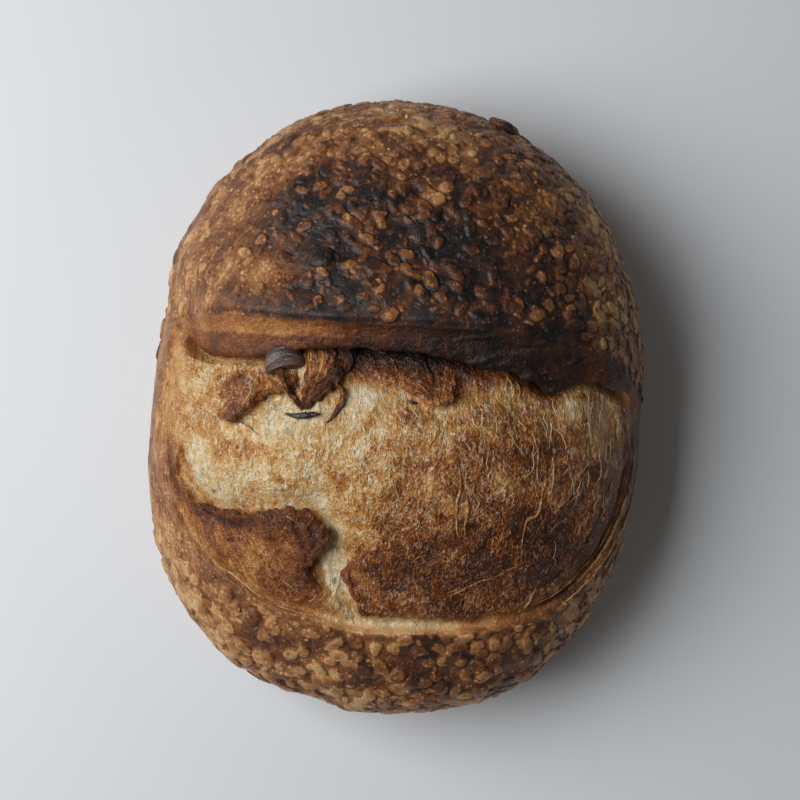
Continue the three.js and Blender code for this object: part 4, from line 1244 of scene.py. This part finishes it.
def crumb_pattern(tree, bake, place, streaks):
    """Torn crumb: a toasted web of bubbles and strings, pale drawn-out fibres, or a dense grain."""
    pull, web = attribute(tree, "pull"), attribute(tree, "web")
    warped = bent(tree, bent(tree, place, 11, 5.0), 2.4, 1.7)
    combed, drawn = drawn_out(tree, warped, 0.5), drawn_out(tree, warped, 0.34)
    cloud = noise(tree, warped, 0.085, 2, 0.5)
    islands = ramp_between(tree, noise(tree, warped, 0.17, 3, 0.6), 0.47, 0.6)
    mottle = noise(tree, warped, 0.45, 2, 0.5)
    grit = noise(tree, place, 1.5, 2, 0.6)
    strings = noise(tree, combed, 0.85, 2, 0.6)
    fibres = noise(tree, drawn, 0.85, 3, 0.6)
    hairs, threads = hairlines(tree, drawn, 0.5, 0.055, 1.0), hairlines(tree, drawn, 0.9, 0.07, 1.0)
    creases = hairlines(tree, bent(tree, combed, 6, 2.0), 0.17, 0.024)
    specks = ramp_between(tree, noise(tree, place, 1.05, 1, 0.6), 0.57, 0.64)
    flecks = ramp_between(tree, noise(tree, combed, 0.85, 1, 0.5), 0.59, 0.65)
    bubble, chance, bubble_height = tiny_blisters(tree, warped, 1.6, 0.5, 0.46)
    by_bake = calc(tree, "MULTIPLY_ADD", bake, 0.5, 0.03)

    # Strings and grit make the raised crumb paler than its hollows, here and in the dense and drawn-out crumb
    # below: partly pale stretched gluten, partly a painted highlight on the crests.
    web_brown = added(
        tree, bake, (cloud, 0.85, 0.5), (islands, 0.09, 0.4), (mottle, -0.1, 0.5), (strings, -0.7, 0.5),
        (grit, -0.75, 0.5), (times(tree, creases, by_bake), 0.35, 0.0),
        (times(tree, hairs, by_bake), -0.7, 0.0), (times(tree, bubble, chance), -0.12, 0.0),
    )
    web_brown = calc(tree, "SMOOTH_MIN", web_brown, calc(tree, "MAXIMUM", bake, 0.8), 0.1)
    dense_brown = added(
        tree, bake, (cloud, 0.4, 0.5), (mottle, 0.2, 0.5), (grit, -0.8, 0.5), (streaks, 1.2, 0.0),
        (specks, -0.1, 0.0),
    )
    pulled_brown = added(
        tree, bake, (cloud, 0.5, 0.5), (fibres, -0.6, 0.5), (grit, -0.3, 0.5), (threads, -0.14, 0.0),
        (mottle, 0.4, 0.5),
    )
    brown = blend_value(tree, pull, blend_value(tree, web, dense_brown, web_brown), pulled_brown)
    web_height = added(
        tree, times(tree, bubble_height, 0.55), (mottle, 0.25, 0.5), (strings, 0.6, 0.5), (grit, 0.4, 0.5),
        (hairs, 0.25, 0.0), (flecks, 0.2, 0.0), (creases, -0.14, 0.0),
    )
    dense_height = added(
        tree, times(tree, grit, 0.6), (mottle, 0.25, 0.5), (streaks, -0.6, 0.0), (specks, 0.15, 0.0)
    )
    pulled_height = added(
        tree, times(tree, threads, 0.3), (fibres, 0.9, 0.5), (grit, 0.35, 0.5), (mottle, 0.4, 0.5)
    )
    height = blend_value(tree, pull, blend_value(tree, web, dense_height, web_height), pulled_height)
    height = times(tree, height, ramp_between(tree, bake, 0.0, 0.45, 0.6, 1.0))
    dull = added(tree, 0.38, (bubble, -0.2, 0.0), (mottle, 0.4, 0.5), (hairs, -0.1, 0.0))
    dull = added(tree, dull, (calc(tree, "SUBTRACT", 1.0, web), 0.08, 0.0))
    # Glints: pale specks on raised strings and on bubble tops, gathered in clusters, painted into the colour
    # as highlights.
    glints = times(tree, calc(tree, "MAXIMUM", flecks, specks), ramp_between(tree, strings, 0.38, 0.56))
    bubble_highlights = times(tree, ramp_between(tree, bubble_height, 0.62, 0.9), ramp_between(tree, chance, 0.3, 0.8))
    clusters = ramp_between(tree, noise(tree, place, 0.2, 2, 0.5), 0.4, 0.56, 0.15, 1.0)
    glints = times(
        tree, calc(tree, "MAXIMUM", glints, bubble_highlights), calc(tree, "MULTIPLY_ADD", web, 0.85, 0.1), clusters,
        ramp_between(tree, bake, 0.84, 0.34, 0.14, 1.0),
    )
    # Dark gaps between the drawn-out fibres, painted into the colour as shade in the hollows.
    gap_shade = ramp_between(tree, noise(tree, drawn_out(tree, warped, 0.7), 0.24, 3, 0.6), 0.54, 0.64)
    gap_shade = times(tree, gap_shade, pull, ramp_between(tree, fibres, 0.56, 0.46))
    return brown, dull, height, glints, gap_shade


def baked_dough(name):
    """Crust and torn crumb in one finish: `bake` browns it, `torn` turns crust to crumb, `pull` draws it."""
    finish, tree, shader = new_finish(name)
    torn, place = attribute(tree, "torn"), place_in_mm(tree)
    streaks = times(tree, streaks_around(tree), attribute(tree, "streaky"))
    crust = crust_pattern(tree, attribute(tree, "bake"), place, streaks)
    *crumb, glints, gap_shade = crumb_pattern(tree, attribute(tree, "bake"), place, streaks)
    brown, roughness, height = (blend_value(tree, torn, a, b) for a, b in zip(crust, crumb))
    colours = (colour_ramp(tree, brown, browns) for browns in (CRUST_BROWNS, CRUMB_BROWNS))
    colour = blend_colour(tree, torn, *colours)
    glints = times(tree, glints, torn)
    # The glints are painted into the colour as pale highlights; they also raise the specular level below.
    colour = blend_colour(tree, times(tree, glints, 0.5), colour, PAINTED_GLINT)
    # Painted shade in the gaps between the fibres.
    colour = blend_colour(tree, times(tree, gap_shade, torn, 0.8), colour, PAINTED_GAP_SHADE)
    finish_surface(tree, shader, colour, roughness, height)
    sheen = calc(tree, "MULTIPLY_ADD", glints, 0.5, calc(tree, "MULTIPLY_ADD", torn, -0.06, 0.39))
    tree.links.new(sheen, shader.inputs["Specular IOR Level"])
    return finish


def blister_skin(name):
    """Blisters: lighter than the crust they sit on, darkest round the foot, each its own shade."""
    finish, tree, shader = new_finish(name)
    place = place_in_mm(tree)
    mottle = noise(tree, bent(tree, place, 4, 2.0), 0.6, 4, 0.65)
    freckle = noise(tree, place, 2.2, 3, 0.6)
    crown = ramp_between(tree, attribute(tree, "cap"), 0.35, 0.9)
    lift = times(tree, crown, calc(tree, "MULTIPLY_ADD", attribute(tree, "tone"), -0.36, -0.03))
    brown = calc(tree, "ADD", attribute(tree, "bake"), lift)
    brown = added(tree, brown, (mottle, 1.0, 0.5), (freckle, 0.3, 0.5))
    height = added(tree, times(tree, mottle, 0.5), (freckle, 0.15, 0.5))
    gloss = added(tree, 0.42, (mottle, 0.5, 0.5))
    finish_surface(tree, shader, colour_ramp(tree, brown, CRUST_BROWNS), gloss, height)
    shader.inputs["Specular IOR Level"].default_value = 0.4
    return finish


# ---------------------------------------------------------------- blisters, strewn over the crust


def growing_tree(name, sizes):
    """A node group that takes a mesh, the named sizes, a seed and a finish, and the sockets that give them."""
    tree = bpy.data.node_groups.new(name, "GeometryNodeTree")
    inputs = {"Geometry": "Geometry", **dict.fromkeys(sizes, "Float"), "Seed": "Int", "Finish": "Material"}
    for label, kind in inputs.items():
        tree.interface.new_socket(label, in_out="INPUT", socket_type=f"NodeSocket{kind}")
    tree.interface.new_socket("Geometry", in_out="OUTPUT", socket_type="NodeSocketGeometry")
    return tree, put(tree, "NodeGroupInput").outputs


def end_tree(tree, mesh, finish):
    """Makes a node group's mesh real and smooth, and gives it its finish."""
    real = made(tree, "GeometryNodeRealizeInstances", {0: mesh})
    smoothed = made(tree, "GeometryNodeSetShadeSmooth", {0: real})
    done = made(tree, "GeometryNodeSetMaterial", {"Geometry": smoothed, "Material": finish})
    put(tree, "NodeGroupOutput", {0: done})


def random_number(tree, seed, low, high):
    """A random number for each point."""
    ins = {2: low, 3: high, "Seed": seed}
    return put(tree, "FunctionNodeRandomValue", ins, data_type="FLOAT").outputs[1]


def given_number(tree, name):
    """A value that the mesh keeps for each of its points."""
    node = put(tree, "GeometryNodeInputNamedAttribute", {"Name": name}, data_type="FLOAT")
    return node.outputs["Attribute"]


def turned_upright(tree, angle):
    """A turn about the upright."""
    return made(tree, "FunctionNodeEulerToRotation", {0: made(tree, "ShaderNodeCombineXYZ", {"Z": angle})})


def blister_tree():
    """Strews flattened, slightly uneven domes over a surface, by its `blisters` attribute."""
    tree, given = growing_tree("strew_blisters", BLISTER_SIZES)

    def own(offset, low=0.0, high=1.0):
        return random_number(tree, calc(tree, "ADD", given["Seed"], float(offset)), low, high)

    def kept_as(label, mesh, value, domain):
        ins = {"Geometry": mesh, "Name": label, "Value": value}
        return made(tree, "GeometryNodeStoreNamedAttribute", ins, data_type="FLOAT", domain=domain)

    strewn = put(
        tree, "GeometryNodeDistributePointsOnFaces",
        {
            "Mesh": given["Geometry"], "Distance Min": given["Spacing"], "Seed": given["Seed"],
            "Density Max": given["Per Square Metre"], "Density Factor": given_number(tree, "blisters"),
        },
        distribute_method="POISSON",
    ).outputs
    share = calc(tree, "POWER", own(1), 2.0)
    size = {"Value": share, "To Min": given["Smallest"], "To Max": given["Largest"]}
    size = made(tree, "ShaderNodeMapRange", size)
    oval = own(2, 0.82, 1.35)
    shape = {
        "X": times(tree, size, oval), "Y": calc(tree, "DIVIDE", size, oval),
        "Z": times(tree, size, given["Height"], own(5, 0.7, 1.3)),
    }
    spin = turned_upright(tree, own(3, 0.0, FULL_TURN))
    turn = made(tree, "FunctionNodeRotateRotation", {0: strewn["Rotation"], 1: spin}, rotation_space="LOCAL")
    ball = made(tree, "GeometryNodeMeshUVSphere", {"Segments": 10, "Rings": 5, "Radius": 1.0})
    up = put(tree, "ShaderNodeSeparateXYZ", {0: made(tree, "GeometryNodeInputPosition")}).outputs["Z"]
    settled = {
        "Points": strewn["Points"], "Instance": kept_as("cap", ball, up, "POINT"), "Rotation": turn,
        "Scale": made(tree, "ShaderNodeCombineXYZ", shape),
    }
    settled = made(tree, "GeometryNodeInstanceOnPoints", settled)
    sink = {"Instances": settled, "Translation": (0, 0, -BLISTER_SINK), "Local Space": True}
    toned = kept_as("tone", made(tree, "GeometryNodeTranslateInstances", sink), own(4), "INSTANCE")
    real = made(tree, "GeometryNodeRealizeInstances", {0: toned})
    push = pushed(tree, made(tree, "GeometryNodeInputPosition"), 300.0, 1.0, (0.9 * MM,) * 3)
    uneven = made(tree, "GeometryNodeSetPosition", {"Geometry": real, "Offset": push})
    end_tree(tree, uneven, given["Finish"])
    return tree


def grown_from(surface, name, tree, settings):
    """A plain mesh made by a node tree from a surface, which itself stays as it is."""
    grower = placed(name, surface.data.copy())
    nodes = grower.modifiers.new("nodes", "NODES")
    nodes.node_group = tree
    for socket in tree.interface.items_tree:
        if socket.in_out == "INPUT" and socket.name in settings:
            nodes[socket.identifier] = settings[socket.name]
    mesh = bpy.data.meshes.new_from_object(grower.evaluated_get(bpy.context.evaluated_depsgraph_get()))
    grower.modifiers.clear()
    grower.data = mesh
    mesh.name = name
    return grower


# ---------------------------------------------------------------- torn lips, curls and strands


def along_length(values, share):
    """Values spread evenly from one end to the other, read at a share of the way."""
    return np.interp(share, np.linspace(0, 1, len(values)), values)


def torn_lip(name, tear, finish):
    """The overhanging lip of a tear: a ragged strip along its edge, flush with the raised side."""
    steps = 14 * len(tear["points"])
    line = respaced(tear_lines[name], steps)
    profile = fine_line(LIP_PROFILE + LIP_PROFILE[:1], 26)[:-1]
    inner = line[1:-1]
    outward = square_to(line[2:] - line[:-2])
    start, end = tear["free"]
    size = np.clip((np.arange(1, steps) / steps - start) / (end - start), 0, 1)
    size = np.maximum(np.sin(np.pi * size), 0) ** 0.6 + 0.02
    spot = plan_points(*inner.T)
    ragged = 1 + 1.1 * grain(spot, 5, seed=21) + 0.9 * grain(spot, 2, seed=26)
    root = inner - 2.2 * outward
    level = top_height(root[:, 0], root[:, 1]) - 1.6 * (1 - smooth(0, 0.5, size))
    forward = profile[None, :, 0] * tear["overhang"] * size[:, None]
    forward = np.where(forward > 0, forward * ragged[:, None], forward)
    plan = inner[:, None, :] + outward[:, None, :] * forward[..., None]
    height = level[:, None] - profile[None, :, 1] * tear["thickness"] * size[:, None]
    rings = np.dstack([plan, height[..., None]])
    rings = rings + 0.4 * drifts(rings, 2, (22, 76, 77))
    ends = [np.array([*line[i], float(top_height(*line[i])) - tear["thickness"]]) for i in (0, -1)]
    points, faces = closed_tube(rings, *ends)
    # The lower side of the lip is painted darker: painted shade under the overhang.
    under = np.concatenate([np.tile(0.12 * smooth(0.3, 0.9, profile[:, 1]), len(rings)), [0, 0]])
    burnt = np.maximum(bloom_browning(points[:, 0], points[:, 1]), tear["burn"] - 0.06) + under
    return closed_piece(name, points, faces, finish, {"bake": burnt, "torn": np.ones(len(points))})


def perch(x, y):
    """The height of the finished skin at a place in the plan."""
    spots = []
    for px, py in np.column_stack([np.ravel(x), np.ravel(y)]):
        _, index, _ = skin_finder.find((px, py, 0))
        spots.append(skin_tops[index, 2])
    return np.reshape(spots, np.shape(x))


def loose_strand(name, finish, strand):
    """A strand of dried dough: a tapered, uneven tube that touches the loaf where its lift is nil."""
    marks = np.array(strand["points"], float)
    steps = 10 * len(marks)
    line = fine_line(marks, steps)
    line[:, 2] += perch(line[:, 0], line[:, 1])
    share = np.linspace(0, 1, steps + 1)
    size = along_length(strand["widths"], share) / 2
    run = np.gradient(line, axis=0)
    run /= np.linalg.norm(run, axis=1, keepdims=True)
    side = np.cross(run, (0, 0, 1))
    side /= np.linalg.norm(side, axis=1, keepdims=True)
    up = np.cross(side, run)
    angle = 2 * np.pi * np.arange(STRAND_SIDES) / STRAND_SIDES
    c, s = np.cos(angle), np.sin(angle)
    flat = strand.get("flat", 0.7)
    wide = side[:, None] * c[None, :, None] + up[:, None] * (flat * s)[None, :, None]
    rings = line[:, None] + wide * size[:, None, None]
    long = share[:, None]
    wrinkles = grain(np.dstack([6 * c + 0 * long, 6 * s + 0 * long, 0 * angle + 14 * long]), 3, seed=31)
    rings = rings + wide * (0.55 * wrinkles * size[:, None])[..., None]
    rings = rings + 0.3 * drifts(rings, 2.4, (32, 33, 34)) * strand.get("rough", 1)
    points, faces = closed_tube(rings[1:-1], line[0], line[-1])
    bake = np.repeat(along_length(strand["bake"], share[1:-1]), STRAND_SIDES) + 0.22 * wrinkles[1:-1].ravel()
    far = np.concatenate([[0], np.cumsum(np.linalg.norm(np.diff(line, axis=0), axis=1))])[1:-1, None]
    girth = 2.2 * size[1:-1, None]
    flow = np.dstack([far + 0 * angle, girth * c, girth * s])
    return closed_piece(name, points, faces, finish, drawn_looks(bake, flow, strand["bake"]))


def drawn_looks(bake, flow, along):
    """The looks of dough drawn out along `flow`: length, then two widths, in millimetres."""
    bake = np.clip(np.concatenate([bake, along[:1], along[-1:]]), 0, 1)
    flow = flow.reshape(-1, 3)
    ones = np.ones(len(bake))
    around = np.vstack([flow, flow[:1], flow[-1:]])
    return {"bake": bake, "torn": ones, "web": 0.25 * ones, "streaky": 1.6 * ones, "around": around}


def both_faces(over, under):
    """Values across a sheet's upper face and back across its lower one."""
    return np.concatenate([over, under[:, ::-1]], axis=1)


def dough_sheet(name, finish, sheet):
    """A thin, ruffled, closed sheet of dried dough woven through rows of marks."""
    across, down = SHEET_WEAVE
    rows = np.array([fine_line(row, across) for row in sheet["rows"]])
    cloth = np.stack([fine_line(rows[:, k], down) for k in range(rows.shape[1])], axis=1)
    cloth[..., 2] += top_height(cloth[..., 0], cloth[..., 1])
    share, side = np.linspace(0, 1, down + 1)[:, None], np.linspace(-1, 1, across + 1)[None, :]
    normal = np.cross(np.gradient(cloth, axis=1), np.gradient(cloth, axis=0))
    normal /= np.linalg.norm(normal, axis=-1, keepdims=True)
    folds = 0.6 * grain(cloth, 5, (0.6, 1.6, 1), seed=61) + 0.5 * ridged(cloth, 5, (0.7, 1.5, 1), seed=62)
    folds = folds + 0.35 * grain(cloth, 1.7, seed=63)
    cloth[..., :2] += 0.9 * drifts(cloth, 2.6, (64, 65)) * np.abs(side)[..., None] ** 2
    cloth = cloth + normal * (sheet["ruffle"] * folds)[..., None]
    thick = normal * (sheet["thickness"] / 2 * (1 - side**4) ** 0.5 + 0.04 + 0 * share)[..., None]
    rings = both_faces(cloth + thick, cloth - thick)
    points, faces = closed_tube(rings[1:-1], cloth[0].mean(0), cloth[-1].mean(0))
    shade = along_length(sheet["bake"], share[1:-1]) - 0.22 * (folds[1:-1] - 0.3) + 0.16 * np.abs(side) ** 3
    far = 12 * share[1:-1] + 0 * side
    flow = np.dstack([far, 5 * side + 0 * far, 0 * far])
    bake = both_faces(shade, shade).ravel()
    return closed_piece(name, points, faces, finish, drawn_looks(bake, both_faces(flow, flow), sheet["bake"]))


def egg(rings, around, blunt=1.0):
    """The rings of an egg between its two ends: how far along, the angle round it, and its girth."""
    u = np.pi * np.arange(1, rings) / rings
    v = 2 * np.pi * np.arange(around) / around
    return -np.cos(u)[:, None] + 0 * v, v[None, :] + 0 * u[:, None], np.sin(u)[:, None] ** blunt


def stood(shape, body, tips):
    """A closed tube of the body and its two tips, turned and put in the shape's place."""
    return closed_tube(*(turned(part, -shape["turn"]) + shape["place"] for part in (body, tips[0], tips[1])))


def burnt_curl(name, finish, curl):
    """The knob of scorched dough on the ear's edge: drawn in fine ribs along its back."""
    wide, deep, high = curl["size"]
    long, lap, girth = egg(30, 44, 0.75)
    c, s = np.cos(lap), np.sin(lap)
    ribs = 0.08 * np.sin(17 * lap + 2.2 * long + 2 * grain(np.dstack([4 * long, 4 * c, 4 * s]), 3, seed=35))
    ribs = ribs + 0.16 * grain(np.dstack([3 * long, 9 * c, 9 * s]), 3.4, seed=36)
    body = np.dstack([long * wide, girth * c * deep * (1 + ribs), girth * s * high * (1 + ribs)])
    bow = np.array(curl["bow"])
    body[..., 1:] -= bow * body[..., :1] ** 2
    tips = np.array([(end, *(-bow * wide**2)) for end in (-wide, wide)])
    points, faces = stood(curl, body, tips)
    bake = np.concatenate([(0.66 - 1.8 * ribs).ravel(), [0.8, 0.8]])
    return closed_piece(name, points, faces, finish, {"bake": np.clip(bake, 0, 1)})


def crust_flake(name, finish, flake):
    """A loose flake of crust standing out from the side."""
    wide, deep, high = flake["size"]
    long, lap, girth = egg(12, 18)
    body = np.dstack([long * wide, girth * np.cos(lap) * deep, girth * np.sin(lap) * high])
    body = body + 0.8 * drifts(body, 3, (41, 42, 43))
    points, faces = stood(flake, body, np.array([(-wide, 0, 0), (wide, 0, 0)], float))
    looks = {"bake": np.full(len(points), flake["bake"]), "torn": np.zeros(len(points))}
    return closed_piece(name, points, faces, finish, looks)


def scorched_gloss(name):
    """Scorched dough, tight and glossy."""
    finish, tree, shader = new_finish(name)
    place = place_in_mm(tree)
    mottle, grit = noise(tree, place, 0.8, 4, 0.65), noise(tree, place, 3.0, 2, 0.6)
    brown = added(tree, attribute(tree, "bake"), (mottle, 0.5, 0.5), (grit, 0.2, 0.5))
    gloss = added(tree, 0.3, (mottle, 0.4, 0.5))
    height = added(tree, 0.0, (mottle, 0.4, 0.5), (grit, 0.15, 0.5))
    finish_surface(tree, shader, colour_ramp(tree, brown, SCORCHED_AND_SHEEN_BROWNS), gloss, height)
    shader.inputs["Specular IOR Level"].default_value = 0.75
    return finish


def dried_gluten(name):
    """Stray hairs of dried gluten, a little paler than the crumb they lie on."""
    finish, tree, shader = new_finish(name)
    mottle = noise(tree, place_in_mm(tree), 0.5, 3, 0.6)
    brown = added(tree, times(tree, attribute(tree, "bake"), 0.5), (mottle, 0.6, 0.5))
    gloss, height = added(tree, 0.5, (mottle, 0.2, 0.5)), times(tree, mottle, 0.1)
    finish_surface(tree, shader, colour_ramp(tree, brown, GLUTEN_BROWNS), gloss, height)
    shader.inputs["Specular IOR Level"].default_value = 0.4
    return finish


def hair_tree():
    """Lays thin wavy hairs on a surface, by its `hairs` attribute, mostly from back to front."""
    tree, given = growing_tree("lay_hairs", HAIR_SIZES)
    density = times(tree, given_number(tree, "hairs"), given["Per Square Metre"])
    spots = {"Mesh": given["Geometry"], "Density": density, "Seed": given["Seed"]}
    spots = made(tree, "GeometryNodeDistributePointsOnFaces", spots, distribute_method="RANDOM")
    length = random_number(tree, given["Seed"], given["Shortest"], given["Longest"])
    lean = times(tree, random_number(tree, calc(tree, "ADD", given["Seed"], 7.0), -1.0, 1.0), given["Sway"])
    line = made(tree, "GeometryNodeCurvePrimitiveLine", {"Start": (0, -0.5, 0), "End": (0, 0.5, 0)})
    line = made(tree, "GeometryNodeResampleCurve", {"Curve": line, "Count": 12})
    laid = {"Points": spots, "Instance": line, "Rotation": turned_upright(tree, lean), "Scale": length}
    real = made(tree, "GeometryNodeRealizeInstances", {0: made(tree, "GeometryNodeInstanceOnPoints", laid)})
    push = pushed(tree, made(tree, "GeometryNodeInputPosition"), 170.0, 1.0, (10 * MM, 6 * MM, 0))
    bowed = made(tree, "GeometryNodeSetPosition", {"Geometry": real, "Offset": push})
    nearest = put(tree, "GeometryNodeProximity", {0: given["Geometry"]}, target_element="FACES")
    clear = (0, 0, HAIR_CLEARANCE * MM)
    settled = {"Geometry": bowed, "Position": nearest.outputs["Position"], "Offset": clear}
    settled = made(tree, "GeometryNodeSetPosition", settled)
    share = put(tree, "GeometryNodeSplineParameter").outputs["Factor"]
    taper = calc(tree, "MULTIPLY_ADD", calc(tree, "SINE", times(tree, share, math.pi)), 0.85, 0.15)
    thin = made(tree, "GeometryNodeSetCurveRadius", {"Curve": settled, "Radius": taper})
    ring = made(tree, "GeometryNodeCurvePrimitiveCircle", {"Resolution": 4, "Radius": given["Thickness"]})
    solid = put(tree, "GeometryNodeCurveToMesh", {"Curve": thin, "Profile Curve": ring, "Fill Caps": True})
    if "Scale" in solid.inputs:
        tree.links.new(taper, solid.inputs["Scale"])
    end_tree(tree, solid.outputs[0], given["Finish"])
    return tree


def closed_tube(rings, start, end):
    """A tube through rings of points, closed to a point at both ends."""
    count, around = rings.shape[:2]
    k = np.arange(around)
    n = (k + 1) % around
    faces = []
    for a in range(0, (count - 1) * around, around):
        b = a + around
        faces += np.column_stack([a + k, a + n, b + n, b + k]).tolist()
    first, last, rim = count * around, count * around + 1, (count - 1) * around
    faces += [[first, b, a] for a, b in zip(k, n)]
    faces += [[last, rim + a, rim + b] for a, b in zip(k, n)]
    return np.vstack([rings.reshape(-1, 3), start, end]), faces


# ---------------------------------------------------------------- the loaf, put together

set_camera()
set_light()
lay_table()

dough = baked_dough("baked_dough")
starts = np.cumsum([0, DOME_ROWS + 1, FOLD_ROWS, BLOOM_ROWS + 1, FRONT_ROWS])
grid = skin_grid()
ends = [*map(int, starts), grid.shape[1]]
rows = {part: slice(*ends[k:k + 2]) for k, part in enumerate(("dome", "fold", "bloom", "front", "base"))}
looks = browning(grid, rows)
grid = fine_relief(grid, grid_normals(grid), rows, looks)
grid, swollen = raised_blisters(grid, grid_normals(grid), rows, looks)
looks |= swollen
normals = grid_normals(grid)
spans = {
    "dome_and_ear": (0, rows["fold"].stop - 1),
    "bloom": (rows["fold"].stop - 1, rows["bloom"].stop - 1),
    "front_crust": (rows["bloom"].stop - 1, rows["front"].stop - 1),
    "underside": (rows["front"].stop - 1, grid.shape[1]),
}
skins = {name: skin_piece(name, grid, normals, looks, span, "both", dough) for name, span in spans.items()}
pieces = [skins["front_crust"], skins["underside"]]
for name in ("dome_and_ear", "bloom"):
    for side in ("left", "right"):
        pieces.append(skin_piece(f"{name}_{side}", grid, normals, looks, spans[name], side, dough))
strew, blistered = blister_tree(), blister_skin("blister_skin")
for name, (surface, seed, sizes) in STREWN_BLISTERS.items():
    settings = {"Seed": seed, "Finish": blistered, **dict(zip(BLISTER_SIZES, sizes))}
    pieces.append(grown_from(skins[surface], name, strew, settings))
for name, tear in TEARS.items():
    pieces.append(torn_lip(name, tear, dough))

skin_tops = grid[:, : rows["front"].stop].reshape(-1, 3)
skin_tops = skin_tops[skin_tops[:, 2] > 30]
skin_finder = kdtree.KDTree(len(skin_tops))
for index, (px, py, _) in enumerate(skin_tops):
    skin_finder.insert((px, py, 0), index)
skin_finder.balance()

scorched = scorched_gloss("scorched_dough")
pieces.append(burnt_curl("burnt_curl", scorched, CURL))
for name, flake in FLAKES.items():
    pieces.append(crust_flake(name, dough, flake))
for name, strand in STRANDS.items():
    pieces.append(loose_strand(name, scorched if name.startswith("burnt") else dough, strand))
for name, sheet in SHEETS.items():
    pieces.append(dough_sheet(name, dough, sheet))
for index, (marks, width, level) in enumerate(WRINKLES):
    strand = {
        "points": [(x, y, WRINKLE_LIFT) for x, y in marks], "widths": (0.2, 1.25 * width, 1.25 * width, 0.2),
        "bake": (level - 0.06, level - 0.06), "flat": 0.8, "rough": 0.5,
    }
    pieces.append(loose_strand(f"wrinkle_{index}", dough, strand))
lay, gluten = hair_tree(), dried_gluten("dried_gluten")
for name, (seed, sizes) in HAIRS.items():
    settings = {"Seed": seed, "Finish": gluten, **dict(zip(HAIR_SIZES, sizes))}
    pieces.append(grown_from(skins["bloom"], name, lay, settings))
for name in ("dome_and_ear", "bloom"):
    bpy.data.objects.remove(skins[name])

for piece in pieces:
    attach(piece, "root")
    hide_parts("loaf")
